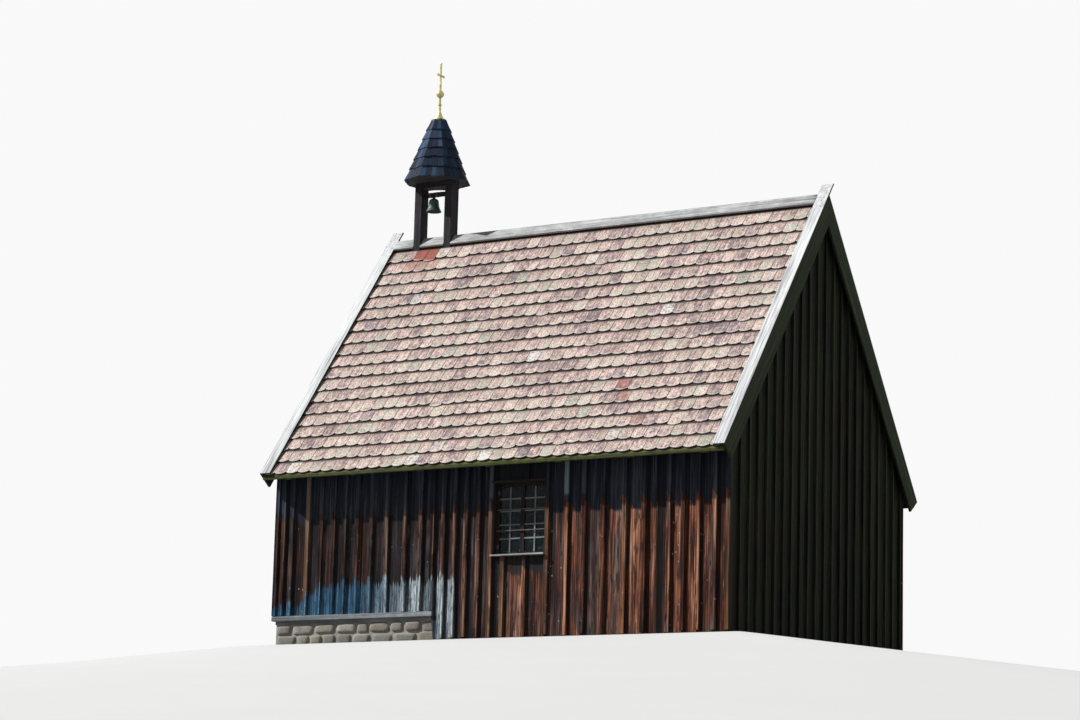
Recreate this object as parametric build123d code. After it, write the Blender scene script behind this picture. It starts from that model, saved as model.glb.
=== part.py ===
from build123d import *

import os
from math import cos, radians, sin, tan

# A small timber chapel: low plinth, boarded walls, steep tiled roof and a bell turret.
# Millimetres. X runs along the ridge towards the downhill gable, Y from the front wall to the
# back wall, Z up. The origin is the middle of the plan at the lowest ground.

# Plan and walls
chapel_length = 6560
chapel_width = 4800
board_thickness = 21
strip_thickness = 24
wall_thickness = 140

# Plinth, ground sill and floor
plinth_height = 270
plinth_thickness = 280
plinth_setback = 10
ground_sill_height = 105
ledge_height = 60
ledge_reveal = 5
uphill_boards_run = 2436
downhill_board_foot = 30
floor_rise = 95
plank_thickness = 30
joist_width = 90
joist_count = 5
floor_gap = 0.5

# Cover strips over the joints of the wall boards: bay widths between their middles, and the
# places of the short ones from the window's middle
strip_width = 56
uphill_bays = [105, 127, 248, 210, 193, 173, 191, 213, 232, 274, 230, 179, 161, 160, 168, 183, 182]
downhill_bays = [270, 242, 270, 292, 268, 337, 193, 198, 219, 180]
strips_under_window = [-220, 90]
strips_over_window = [105]
gable_bay = 220

# Roof
roof_pitch = 53
eaves_height = 2160
eaves_overhang = 262
verge_overhang = 65
tile_depth = 40
tile_gauge = 217
tile_gauge_growth = 0.9
tile_step = 16
top_course_least = 100
boarding_depth = 22
rafter_depth = 100
rafter_width = 80
rafter_end_gap = 55
rafter_pairs = 7
rafter_seat = 62
tail_lift = 10
plate_height = 120
cladding_gap = 4
purlin_width = 70
purlin_height = 180
purlin_top_drop = 43
fascia_thickness = 25
fascia_inset = 34
fascia_drop = 64
verge_board_thickness = 30
verge_board_depth = 225
verge_cap_width = 160
verge_cap_thickness = 25
verge_tongue_rise = 150
ridge_board_width = 130
ridge_board_thickness = 28
ridge_board_overhang = 20

# Window, one in each long wall
window_from_downhill = 2900
window_width = 745
window_bottom = 1015
window_height = 905
window_recess = 100
frame_width = 18
frame_depth = 75
casement_stile = 28
casement_rail = 34
casement_depth = 30
casement_gap = 0.5
pane_thickness = 4
pane_rebate = 6
sill_height = 18
sill_nose = 25
sill_horn = 12
head_strip_height = 20
head_strip_depth = 16

# Door in the uphill gable
door_width = 860
door_height = 1850
door_frame_width = 60
door_frame_depth = 100
door_stop = 15
door_thickness = 40
door_gap = 3
threshold_height = 40

# Turret
turret_from_uphill = 710
turret_length = 600
post_width = 110
post_depth = 170
post_rise = 727
post_fork = 130
post_gap = 0.5
head_beam_height = 80
soffit_thickness = 25
soffit_lip = 10
spire_lap = 10
spire_height = 890
spire_radius = 465
spire_top_radius = 118
spire_thickness = 35
spire_flare_height = 120
spire_flare = 8
spire_sides = 8

# Finial
mast_radius = 15
mast_gap = 0.2
skirt_radius = 78
skirt_height = 115
stem_radius = 17
collar_radius = 29
collar_height = 16
collar_rise = 210
ball_radius = 53
ball_rise = 361
stem_height = 500
cross_height = 305
cross_arm_rise = 125
cross_arm_reach = 85
cross_bar_width = 32
cross_bar_thickness = 20

# Bell and its gear
bell_axis_drop = 90
bell_offset = -44
yoke_gap = 10
yoke_width = 50
yoke_height = 60
trunnion_radius = 8
trunnion_length = 38
bearing_gap = 0.08
bearing_depth_spare = 2
bell_radius = 108
bell_height = 190
bell_wall = 9
bell_waist_radius = 77
bell_waist_rise = 68
bell_shoulder_radius = 66
bell_shoulder_rise = 148
bell_crown_radius = 34
canon_radius = 14
canon_height = 16
clapper_rod_radius = 5
clapper_ball_radius = 17
clapper_drop = 165
lever_reach = 60
lever_thickness = 10
lever_height = 24
lever_gap = 2
pull_rod_radius = 4
pull_rod_offset = 94
pull_rod_tail = 1000
pin_tail = 4
slot_length = 24
slot_width = 28

# What follows from the sizes above
pitch = radians(roof_pitch)
half_length = chapel_length / 2
half_width = chapel_width / 2
board_face_x = half_length - strip_thickness
board_face_y = half_width - strip_thickness
frame_face_x = board_face_x - board_thickness
frame_face_y = board_face_y - board_thickness
inner_x = frame_face_x - wall_thickness
inner_y = frame_face_y - wall_thickness
wall_foot = plinth_height + ground_sill_height
uphill_boards_end = uphill_boards_run - half_length
floor_top = wall_foot + floor_rise
joist_spacing = 2 * inner_x / joist_count
window_x = half_length - window_from_downhill
eaves_y = half_width + eaves_overhang
tile_apex = eaves_height + eaves_y * tan(pitch)
slope_length = eaves_y / cos(pitch)
boarding_bottom = tile_depth + boarding_depth
rafter_bottom = boarding_bottom + rafter_depth
rafter_spacing = (2 * (inner_x - rafter_end_gap) - rafter_width) / (rafter_pairs - 1)
fascia_bottom = eaves_height - fascia_drop
verge_x = half_length + verge_overhang
roof_end_x = verge_x - verge_board_thickness
cap_inner_x = verge_x - verge_cap_width
tail_y = eaves_y - fascia_inset - fascia_thickness
purlin_top = tile_apex - rafter_bottom / cos(pitch) - purlin_top_drop
post_foot = purlin_top - post_fork
turret_x = turret_from_uphill - half_length
post_top = tile_apex + post_rise
soffit_bottom = post_top + head_beam_height
spire_foot = soffit_bottom - spire_lap
bell_axis_height = post_top - bell_axis_drop
bell_x = turret_x + bell_offset
yoke_reach = turret_length / 2 - post_width - yoke_gap
pull_rod_x = turret_x + pull_rod_offset
spire_top = spire_foot + spire_height


def roof_z(y, depth=0):
    """Height of the plane that lies square below the tiles by this depth, y from the ridge."""
    return tile_apex - abs(y) * tan(pitch) - depth / cos(pitch)


def roof_y(z, depth=0):
    """Distance from the ridge at which that plane has this height."""
    return (tile_apex - depth / cos(pitch) - z) / tan(pitch)


# Heights that follow from the planes of the roof
plate_top = roof_z(frame_face_y, rafter_bottom) + rafter_seat
wall_top = plate_top - plate_height
cladding_top = roof_z(half_width, rafter_bottom) - cladding_gap


def block(x0, x1, y0, y1, z0, z1):
    """A box between two corners."""
    return Pos(x0, y0, z0) * Box(x1 - x0, y1 - y0, z1 - z0, align=Align.MIN)


def prism_x(points, x0, x1):
    """An outline in Y and Z, carried along X."""
    face = Plane.YZ.offset(x0) * Polygon(*points, align=None)
    return extrude(face, x1 - x0, dir=(1, 0, 0))


def prism_y(points, y0, y1):
    """An outline in X and Z, carried along Y."""
    face = Plane.XZ.offset(-y0) * Polygon(*points, align=None)
    return extrude(face, y1 - y0, dir=(0, 1, 0))


def ring(x, y, inner_side_x, inner_side_y, z0, z1):
    """A rectangular ring about the middle of the plan."""
    hole = block(-inner_side_x, inner_side_x, -inner_side_y, inner_side_y, z0, z1)
    return block(-x, x, -y, y, z0, z1) - hole


def on_slope(down, depth=0):
    """Y and Z of a point of the front slope, by its distances down from the ridge and below the tiles."""
    return (depth * sin(pitch) - down * cos(pitch), tile_apex - down * sin(pitch) - depth * cos(pitch))


def slope_layer(y, top, bottom, x0, x1):
    """A layer of the front slope between two depths, cut plumb at its foot."""
    points = [(-y, roof_z(y, top)), (0, roof_z(0, top)), (0, roof_z(0, bottom)), (-y, roof_z(y, bottom))]
    return prism_x(points, x0, x1)


def square_layer(top, bottom, x0, x1):
    """A layer of the front slope between two depths, cut square at the eaves."""
    points = []
    for depth in (top, bottom):
        y = eaves_y - depth * sin(pitch)
        points.append((-y, eaves_height - depth * cos(pitch)))
    points.append((0, roof_z(0, bottom)))
    points.append((0, roof_z(0, top)))
    return prism_x(points, x0, x1)


def to_back(shape):
    """The same piece on the back half."""
    return mirror(shape, about=Plane.XZ)


# Plinth, ground sill and floor
def make_plinth():
    x = frame_face_x - plinth_setback
    y = frame_face_y - plinth_setback
    return ring(x, y, x - plinth_thickness, y - plinth_thickness, 0, plinth_height)


def make_ground_sill():
    """The timber that the walls stand on, standing proud at the uphill end as a ledge."""
    beam = ring(frame_face_x, frame_face_y, inner_x, inner_y, plinth_height, wall_foot)
    x = half_length - ledge_reveal
    y = half_width - ledge_reveal
    z = wall_foot - ledge_height
    ledge = block(-x, uphill_boards_end, -y, y, z, wall_foot)
    ledge -= block(-frame_face_x, uphill_boards_end, -frame_face_y, frame_face_y, z, wall_foot)
    return beam + ledge


def make_floor():
    """Planks on joists that lie on the inner part of the plinth."""
    x = inner_x - floor_gap
    y = inner_y - floor_gap
    planks = floor_top - plank_thickness
    floor = block(-x, x, -y, y, planks, floor_top)
    for number in range(joist_count):
        middle = (number - (joist_count - 1) / 2) * joist_spacing
        floor += block(middle - joist_width / 2, middle + joist_width / 2, -y, y, plinth_height, planks)
    return floor


# Walls
def window_hole(y0, y1):
    half = window_width / 2
    top = window_bottom + window_height
    return block(window_x - half, window_x + half, y0, y1, window_bottom, top)


def door_hole(x0, x1):
    half = door_width / 2 + door_frame_width
    bottom = floor_top - threshold_height
    return block(x0, x1, -half, half, bottom, floor_top + door_height + door_frame_width)


def make_purlin():
    y = purlin_width / 2
    return block(-frame_face_x, frame_face_x, -y, y, purlin_top - purlin_height, purlin_top)


def make_front_wall():
    wall = block(-frame_face_x, frame_face_x, -frame_face_y, -inner_y, wall_foot, wall_top)
    return wall - window_hole(-frame_face_y, -inner_y)


def gable_outline(y, foot):
    """Half the width of a gable, its foot, and the line under the roof boarding."""
    eaves = roof_z(y, boarding_bottom)
    return [(-y, foot), (y, foot), (y, eaves), (0, roof_z(0, boarding_bottom)), (-y, eaves)]


def make_gable_wall(x0, x1):
    return prism_x(gable_outline(inner_y, wall_foot), x0, x1) - make_purlin()


def front_cladding_layer(y0, y1):
    """The boards stop on the ledge at the uphill end and run down to the ground beyond it."""
    outline = [
        (-half_length, cladding_top),
        (-half_length, wall_foot),
        (uphill_boards_end, wall_foot),
        (uphill_boards_end, downhill_board_foot),
        (half_length, downhill_board_foot),
        (half_length, cladding_top),
    ]
    return prism_y(outline, y0, y1) - window_hole(y0, y1)


def gable_cladding_layer(x0, x1, foot):
    return prism_x(gable_outline(frame_face_y, foot), x0, x1)


def spread(start, end, bays):
    """Places from start to end whose spacing follows the bays."""
    places = [start]
    for number in range(len(bays)):
        places.append(start + (end - start) * sum(bays[: number + 1]) / sum(bays))
    return places


def equal_bays(length):
    return [1] * round(length / gable_bay)


def cut_strips(layer, places, along_y=False, z0=0, z1=tile_apex):
    """The cover strips at these places along a wall, cut from its outer layer."""
    half = strip_width / 2
    strips = []
    for place in places:
        if along_y:
            strip = block(-half_length, half_length, place - half, place + half, z0, z1)
        else:
            strip = block(place - half, place + half, -half_width, half_width, z0, z1)
        strips += (layer & strip).solids()
    return strips


def make_front_strips():
    corner = half_length - strip_width / 2
    beside = (window_width + strip_width) / 2
    left, right = window_x - beside, window_x + beside
    top = window_bottom + window_height
    layer = front_cladding_layer(-half_width, -board_face_y) - make_head_strip()
    places = spread(-corner, left, uphill_bays) + spread(right, corner, downhill_bays)
    under = [window_x + place for place in strips_under_window]
    over = [window_x + place for place in strips_over_window]
    strips = cut_strips(layer, places)
    strips += cut_strips(layer, under, z1=window_bottom)
    return strips + cut_strips(layer, over, z0=top)


def make_gable_strips(x0, x1, foot, edge=0):
    """The strips of one gable, with one at each side of an opening that reaches out to edge."""
    corner = frame_face_y - strip_width / 2
    layer = gable_cladding_layer(x0, x1, foot)
    if edge == 0:
        return cut_strips(layer, spread(-corner, corner, equal_bays(2 * corner)), True)
    beside = edge + strip_width / 2
    field = spread(beside, corner, equal_bays(corner - beside))
    over = spread(-beside, beside, equal_bays(2 * beside))[1:-1]
    places = [-place for place in field] + over + field
    return cut_strips(layer - door_hole(x0, x1), places, True)


def make_front_plate():
    """The beam on the wall that carries the rafters."""
    x = frame_face_x
    return block(-x, x, -frame_face_y, -inner_y, wall_top, plate_top)


# Roof
def make_front_rafters():
    tail = fascia_bottom + tail_lift
    knee = roof_y(tail, rafter_bottom)
    outline = [
        (-tail_y, roof_z(tail_y, boarding_bottom)),
        (0, roof_z(0, boarding_bottom)),
        (0, roof_z(0, rafter_bottom)),
        (-knee, tail),
        (-tail_y, tail),
    ]
    rafters = []
    for number in range(rafter_pairs):
        x = (number - (rafter_pairs - 1) / 2) * rafter_spacing - rafter_width / 2
        rafters.append(prism_x(outline, x, x + rafter_width) - make_front_plate() - make_purlin())
    return rafters


def post_block(side, gap=0):
    """The room that a turret post takes, with side -1 uphill and 1 downhill."""
    outer = turret_x + side * turret_length / 2
    inner = outer - side * post_width
    x0, x1 = min(outer, inner) - gap, max(outer, inner) + gap
    y = post_depth / 2 + gap
    return block(x0, x1, -y, y, post_foot, post_top)


def rod_slot():
    """The slot in the back slope that the pull rod hangs through."""
    x = slot_length / 2
    y = slot_width / 2
    middle = lever_reach - pull_rod_radius / 2
    return block(pull_rod_x - x, pull_rod_x + x, middle - y, middle + y, post_foot, post_top)


def around_turret(layer):
    """A layer of the roof, cut round the turret posts."""
    return layer - post_block(-1, post_gap) - post_block(1, post_gap)


def course_tails():
    """How far down the slope each course ends. The gauge widens a little towards the ridge."""
    tails, gauge = [slope_length], tile_gauge
    while tails[-1] - gauge > ridge_board_width + top_course_least:
        tails.append(tails[-1] - gauge)
        gauge += tile_gauge_growth
    return tails


def make_front_tiles():
    """The tiles on their battens, stepped where each course lies on the one below it."""
    outline = [(0, roof_z(0, tile_depth)), on_slope(slope_length, tile_depth)]
    steps = course_tails() + [ridge_board_width - ridge_board_overhang]
    for number, tail in enumerate(steps):
        if number > 0:
            outline.append(on_slope(tail, tile_step))
        outline.append(on_slope(tail))
    outline.append((0, tile_apex))
    return around_turret(prism_x(outline, -roof_end_x, roof_end_x))


def make_front_boarding():
    return around_turret(slope_layer(tail_y, tile_depth, boarding_bottom, -roof_end_x, roof_end_x))


def make_front_ridge_board():
    """The board over the top course, in three lengths between and beside the turret posts."""
    y = ridge_board_width * cos(pitch)
    rise = ridge_board_thickness
    lap = rise * sin(pitch)
    outline = [
        (0, roof_z(0)),
        (-y, roof_z(y)),
        (-y - lap, roof_z(y) + rise * cos(pitch)),
        (0, roof_z(0, -rise)),
    ]
    board = prism_x(outline, -cap_inner_x, cap_inner_x)
    for side in (-1, 1):
        room = post_block(side, post_gap).bounding_box()
        board -= block(room.min.X, room.max.X, -chapel_width, 0, post_foot, post_top)
    return board


def make_front_fascia():
    outer = eaves_y - fascia_inset
    outline = [
        (-outer, fascia_bottom),
        (-tail_y, fascia_bottom),
        (-tail_y, roof_z(tail_y, tile_depth)),
        (-outer, roof_z(outer, tile_depth)),
    ]
    return prism_x(outline, -roof_end_x, roof_end_x)


def make_front_verge_board():
    """The downhill board: a side board under a cap that runs on past the ridge."""
    side = square_layer(-verge_cap_thickness, verge_board_depth, roof_end_x, verge_x)
    top = roof_z(0, -ridge_board_thickness) + verge_tongue_rise
    slope = tan(pitch)
    foot = eaves_y + verge_cap_thickness * sin(pitch)
    outline = [
        (-eaves_y, eaves_height),
        (-foot, eaves_height + verge_cap_thickness * cos(pitch)),
        ((top - roof_z(0, -verge_cap_thickness)) / slope, top),
        ((top - tile_apex) / slope, top),
    ]
    return side + prism_x(outline, cap_inner_x, verge_x)


def make_back_verge_board(front_board):
    """The back board ends at the ridge, against the one that runs past it."""
    length = chapel_length
    half_space = block(-length, length, 0, length, 0, 2 * length)
    return (to_back(front_board) & half_space) - front_board


# Windows
def make_head_strip():
    """The drip strip on the boards over the window."""
    half = window_width / 2 + sill_horn
    low = window_bottom + window_height
    high = low + head_strip_height
    return block(window_x - half, window_x + half, -half_width - head_strip_depth, -board_face_y, low, high)


def make_window_frame():
    outer = -half_width + window_recess
    half = window_width / 2
    top = window_bottom + window_height
    frame = window_hole(outer, outer + frame_depth)
    frame -= block(
        window_x - half + frame_width,
        window_x + half - frame_width,
        outer,
        outer + frame_depth,
        window_bottom + frame_width,
        top - frame_width,
    )
    return [frame, make_head_strip()]


def casement_room(side):
    """The corners in X and Z that a casement fills, with side -1 or 1."""
    inner = window_x + side * casement_gap
    outer = window_x + side * (window_width / 2 - frame_width - casement_gap)
    bottom = window_bottom + frame_width + casement_gap
    top = window_bottom + window_height - frame_width - casement_gap
    return min(inner, outer), max(inner, outer), bottom, top


def make_pane(side):
    x0, x1, z0, z1 = casement_room(side)
    x_in = casement_stile - pane_rebate
    z_in = casement_rail - pane_rebate
    middle = -half_width + window_recess + casement_depth / 2
    y = pane_thickness / 2
    return block(x0 + x_in, x1 - x_in, middle - y, middle + y, z0 + z_in, z1 - z_in)


def make_casement(side):
    x0, x1, z0, z1 = casement_room(side)
    outer = -half_width + window_recess
    inner = outer + casement_depth
    light = block(
        x0 + casement_stile,
        x1 - casement_stile,
        outer,
        inner,
        z0 + casement_rail,
        z1 - casement_rail,
    )
    return block(x0, x1, outer, inner, z0, z1) - light - make_pane(side)


def make_front_sill():
    half = window_width / 2
    top = window_bottom + sill_height
    inner = -half_width + window_recess
    sill = block(window_x - half, window_x + half, -half_width, inner, window_bottom, top)
    left, right = window_x - half - sill_horn, window_x + half + sill_horn
    return sill + block(left, right, -half_width - sill_nose, -half_width, window_bottom, top)


# Door
def make_door_frame():
    x0 = -half_length
    x1 = x0 + door_frame_depth
    stop_x = x0 + door_thickness
    top = floor_top + door_height
    frame = door_hole(x0, x1)
    frame -= block(x0, stop_x, -door_width / 2, door_width / 2, floor_top, top)
    clear = door_width / 2 - door_stop
    return frame - block(stop_x, x1, -clear, clear, floor_top, top - door_stop)


def make_door_leaf():
    half = door_width / 2 - door_gap
    x0 = -half_length
    top = floor_top + door_height - door_gap
    return block(x0, x0 + door_thickness, -half, half, floor_top + door_gap, top)


# Turret
def make_post(side):
    """A post forked over the ridge purlin, with the bearing hole of the bell's yoke."""
    face = turret_x + side * (turret_length / 2 - post_width)
    depth = trunnion_length + bearing_depth_spare
    middle = face + side * depth / 2
    bearing = Pos(middle, 0, bell_axis_height) * Rot(0, 90, 0)
    bearing *= Cylinder(trunnion_radius + bearing_gap, depth)
    return post_block(side) - make_purlin() - bearing


def octagon(radius, z):
    """A level octagon with a corner on each main axis."""
    return Pos(turret_x, 0, z) * RegularPolygon(radius, spire_sides)


def spire_sizes(inset):
    """Heights and corner radii of the spire, from the flared foot to the blunt top."""
    slope = (spire_radius - spire_flare - spire_top_radius) / spire_height
    knee = spire_radius - spire_flare - slope * spire_flare_height
    return [
        (spire_foot, spire_radius - inset),
        (spire_foot + spire_flare_height, knee - inset),
        (spire_top, spire_top_radius - inset),
    ]


def spire_solid(inset):
    low, knee, high = spire_sizes(inset)
    foot = loft([octagon(low[1], low[0]), octagon(knee[1], knee[0])], ruled=True)
    return foot + loft([octagon(knee[1], knee[0]), octagon(high[1], high[0])], ruled=True)


def make_turret_head():
    """The beam over the two posts and the octagonal boarding that closes the spire."""
    x = turret_length / 2
    y = post_depth / 2
    beam = block(turret_x - x, turret_x + x, -y, y, post_top, soffit_bottom)
    soffit = extrude(octagon(spire_radius - spire_thickness, soffit_bottom), soffit_thickness)
    return beam + soffit


def make_spire():
    """A shell of boards and shingles whose ledge sits on the soffit boarding."""
    ledge = soffit_bottom + soffit_thickness
    pocket = extrude(octagon(spire_radius - spire_thickness, spire_foot), ledge - spire_foot)
    room = spire_solid(spire_thickness + soffit_lip) & block(
        turret_x - spire_radius,
        turret_x + spire_radius,
        -spire_radius,
        spire_radius,
        ledge,
        spire_top - spire_thickness,
    )
    hole = Pos(turret_x, 0, spire_top) * Cylinder(mast_radius + mast_gap, spire_height)
    return spire_solid(0) - pocket - room - hole


def make_finial():
    """The mast inside the spire and the gilded skirt, stem, collar and ball above it."""
    foot = soffit_bottom + soffit_thickness
    skirt_top = spire_top + skirt_height
    outline = [
        (0, foot),
        (mast_radius, foot),
        (mast_radius, spire_top),
        (skirt_radius, spire_top),
        (stem_radius, skirt_top),
        (stem_radius, spire_top + stem_height),
        (0, spire_top + stem_height),
    ]
    finial = revolve(Plane.XZ * Polygon(*outline, align=None), Axis.Z)
    finial += Pos(0, 0, spire_top + collar_rise) * Cylinder(collar_radius, collar_height)
    finial += Pos(0, 0, spire_top + ball_rise) * Sphere(ball_radius)
    return Pos(turret_x, 0, 0) * finial


def make_cross():
    """The cross on the stem, with its arms across the ridge."""
    foot = spire_top + stem_height
    x = cross_bar_thickness / 2
    y = cross_bar_width / 2
    bar = block(turret_x - x, turret_x + x, -y, y, foot, foot + cross_height)
    arm = foot + cross_arm_rise
    reach = cross_arm_reach
    return bar + block(turret_x - x, turret_x + x, -reach, reach, arm - y, arm + y)


# Bell
def make_yoke():
    """The block between the posts, with a round iron trunnion at each end."""
    y = yoke_width / 2
    low, high = bell_axis_height - yoke_height / 2, bell_axis_height + yoke_height / 2
    yoke = block(turret_x - yoke_reach, turret_x + yoke_reach, -y, y, low, high)
    reach = yoke_reach + yoke_gap + trunnion_length
    trunnion = Rot(0, 90, 0) * Cylinder(trunnion_radius, 2 * reach)
    return yoke + Pos(turret_x, 0, bell_axis_height) * trunnion


def bell_half(inset):
    """Half a section of the bell, its mouth at height 0, drawn in by a wall."""
    mouth = (bell_radius - inset, 0)
    waist = (bell_waist_radius - inset, bell_waist_rise)
    shoulder = (bell_shoulder_radius - inset, bell_shoulder_rise)
    crown = (bell_crown_radius, bell_height - inset)
    flank = Spline(mouth, waist, shoulder)
    top = Line(shoulder, crown)
    lid = Line(crown, (0, bell_height - inset))
    axis = Line((0, bell_height - inset), (0, 0))
    foot = Line((0, 0), mouth)
    return make_face(flank + top + lid + axis + foot)


def bell_top():
    return bell_axis_height - yoke_height / 2 - canon_height


def make_bell():
    shell = revolve(Plane.XZ * bell_half(0), Axis.Z) - revolve(Plane.XZ * bell_half(bell_wall), Axis.Z)
    canon = Cylinder(canon_radius, canon_height, align=(Align.CENTER, Align.CENTER, Align.MIN))
    return Pos(bell_x, 0, bell_top() - bell_height) * (shell + Pos(0, 0, bell_height) * canon)


def make_clapper():
    top = bell_top() - bell_wall
    rod = Cylinder(clapper_rod_radius, clapper_drop, align=(Align.CENTER, Align.CENTER, Align.MAX))
    return Pos(bell_x, 0, top) * (rod + Pos(0, 0, -clapper_drop) * Sphere(clapper_ball_radius))


def lever_face():
    """The side of the lever that the pull rod hangs beside."""
    return pull_rod_x - pull_rod_radius - lever_gap


def make_lever():
    """An iron arm on the back of the yoke, rounded about the pin hole at its tip."""
    x1 = lever_face()
    x0 = x1 - lever_thickness
    half = lever_height / 2
    arm = block(x0, x1, yoke_width / 2, lever_reach, bell_axis_height - half, bell_axis_height + half)
    across = Pos((x0 + x1) / 2, lever_reach, bell_axis_height) * Rot(0, 90, 0)
    tip = across * Cylinder(half, lever_thickness)
    hole = across * Cylinder(pull_rod_radius + bearing_gap, lever_thickness)
    return arm + tip - hole


def make_pull_rod():
    """An iron rod that hangs from the lever's pin and passes down through the back slope."""
    rod = Cylinder(
        pull_rod_radius,
        pull_rod_tail + pull_rod_radius,
        align=(Align.CENTER, Align.CENTER, Align.MAX),
    )
    rod = Pos(pull_rod_x, lever_reach, bell_axis_height + pull_rod_radius) * rod
    pin_start = lever_face() - lever_thickness - pin_tail
    pin = Rot(0, 90, 0) * Cylinder(pull_rod_radius, pull_rod_x - pin_start)
    return rod + Pos((pin_start + pull_rod_x) / 2, lever_reach, bell_axis_height) * pin


def solids(pieces):
    """Separate pieces of one kind, kept as one shape."""
    return Compound(children=list(pieces))


front_tiles = make_front_tiles()
front_boarding = make_front_boarding()
front_ridge_board = make_front_ridge_board()
front_plate = make_front_plate()
front_rafters = make_front_rafters()
front_wall = make_front_wall()
front_cladding = front_cladding_layer(-board_face_y, -frame_face_y)
front_strips = make_front_strips()
front_fascia = make_front_fascia()
front_sill = make_front_sill()
front_frame = make_window_frame()
front_casements = [make_casement(-1), make_casement(1)]
front_panes = [make_pane(-1), make_pane(1)]
right_verge = make_front_verge_board()
left_verge = mirror(right_verge, about=Plane.YZ)
door_way = door_hole(-half_length, -inner_x)
left_gable_wall = make_gable_wall(-frame_face_x, -inner_x) - door_way
left_gable_cladding = gable_cladding_layer(-board_face_x, -frame_face_x, wall_foot) - door_way
door_edge = door_width / 2 + door_frame_width
left_gable_strips = make_gable_strips(-half_length, -board_face_x, wall_foot, door_edge)
right_gable_strips = make_gable_strips(board_face_x, half_length, downhill_board_foot)

nodes = {
    "plinth": make_plinth(),
    "ground_sill": make_ground_sill(),
    "floor": make_floor(),
    "front_wall": front_wall,
    "back_wall": to_back(front_wall),
    "left_gable_wall": left_gable_wall,
    "right_gable_wall": make_gable_wall(inner_x, frame_face_x),
    "front_cladding": front_cladding,
    "back_cladding": to_back(front_cladding),
    "left_gable_cladding": left_gable_cladding,
    "right_gable_cladding": gable_cladding_layer(frame_face_x, board_face_x, downhill_board_foot),
    "wall_cover_strips": solids(front_strips + [to_back(strip) for strip in front_strips]),
    "gable_cover_strips": solids(left_gable_strips + right_gable_strips),
    "wall_plates": solids([front_plate, to_back(front_plate)]),
    "ridge_purlin": make_purlin(),
    "front_rafters": solids(front_rafters),
    "back_rafters": solids([to_back(rafter) for rafter in front_rafters]),
    "front_roof_boarding": front_boarding,
    "back_roof_boarding": to_back(front_boarding) - rod_slot(),
    "front_roof_tiles": front_tiles,
    "back_roof_tiles": to_back(front_tiles) - rod_slot(),
    "front_fascia": front_fascia,
    "back_fascia": to_back(front_fascia),
    "front_right_verge_board": right_verge,
    "front_left_verge_board": left_verge,
    "back_right_verge_board": make_back_verge_board(right_verge),
    "back_left_verge_board": make_back_verge_board(left_verge),
    "front_ridge_board": front_ridge_board,
    "back_ridge_board": to_back(front_ridge_board) - rod_slot(),
    "front_window_frame": solids(front_frame),
    "back_window_frame": solids([to_back(piece) for piece in front_frame]),
    "front_window_casements": solids(front_casements),
    "back_window_casements": solids([to_back(piece) for piece in front_casements]),
    "window_glass": solids(front_panes + [to_back(pane) for pane in front_panes]),
    "window_sills": solids([front_sill, to_back(front_sill)]),
    "door_frame": make_door_frame(),
    "door_leaf": make_door_leaf(),
    "turret_post_left": make_post(-1),
    "turret_post_right": make_post(1),
    "turret_head": make_turret_head(),
    "spire_roof": make_spire(),
    "finial_rod": make_finial(),
    "finial_cross": make_cross(),
    "bell_yoke": make_yoke(),
    "bell": make_bell(),
    "bell_clapper": make_clapper(),
    "bell_lever": make_lever(),
    "bell_pull_rod": make_pull_rod(),
}

os.makedirs("parts", exist_ok=True)
for name, shape in nodes.items():
    export_step(shape, f"parts/{name}.step")
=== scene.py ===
import random
from math import cos, hypot, pi, radians, sin, sqrt, tan

import bmesh
import bpy
from mathutils import Matrix, Vector, noise


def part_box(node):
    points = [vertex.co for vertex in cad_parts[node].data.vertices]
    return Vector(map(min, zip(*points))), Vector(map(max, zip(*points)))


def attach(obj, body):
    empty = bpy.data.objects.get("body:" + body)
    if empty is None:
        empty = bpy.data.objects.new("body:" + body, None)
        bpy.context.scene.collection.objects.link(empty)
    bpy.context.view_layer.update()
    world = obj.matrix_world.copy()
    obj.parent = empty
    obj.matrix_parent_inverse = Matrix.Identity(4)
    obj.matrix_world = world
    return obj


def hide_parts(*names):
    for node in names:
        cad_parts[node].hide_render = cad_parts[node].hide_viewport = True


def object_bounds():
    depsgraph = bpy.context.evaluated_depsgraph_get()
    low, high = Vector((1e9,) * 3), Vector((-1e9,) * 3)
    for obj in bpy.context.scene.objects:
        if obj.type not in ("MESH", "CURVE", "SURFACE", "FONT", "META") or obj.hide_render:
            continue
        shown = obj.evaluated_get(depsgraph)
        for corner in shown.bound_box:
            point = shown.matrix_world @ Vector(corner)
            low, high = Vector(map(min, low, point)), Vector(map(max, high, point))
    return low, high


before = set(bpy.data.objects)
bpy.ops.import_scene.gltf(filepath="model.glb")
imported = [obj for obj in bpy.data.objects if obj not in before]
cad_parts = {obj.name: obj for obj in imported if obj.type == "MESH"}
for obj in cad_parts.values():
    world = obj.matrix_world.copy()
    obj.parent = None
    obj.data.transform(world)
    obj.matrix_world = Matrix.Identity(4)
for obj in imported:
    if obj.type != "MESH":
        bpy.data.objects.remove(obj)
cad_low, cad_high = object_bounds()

noise.seed_set(5)

# Everything is in metres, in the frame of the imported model: X along the ridge towards the
# downhill gable, Y from the front wall to the back one, Z up from the lowest ground.

# Camera: where the photo was taken from, its angles in degrees and its lens on a 36 mm sensor
CAMERA_PLACE = (19.636, -33.117, -3.258)
CAMERA_TURN = 31.743
CAMERA_TILT = 10.442
CAMERA_ROLL = 1.525
CAMERA_LENS = 100.37

# Light
SUN_BEARING = 65
SUN_HEIGHT = 41
SUN_STRENGTH = 4.7
SUN_SOFTNESS = 1.1
SKY_STRENGTH = 0.17
BACKGROUND = 0.95

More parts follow.
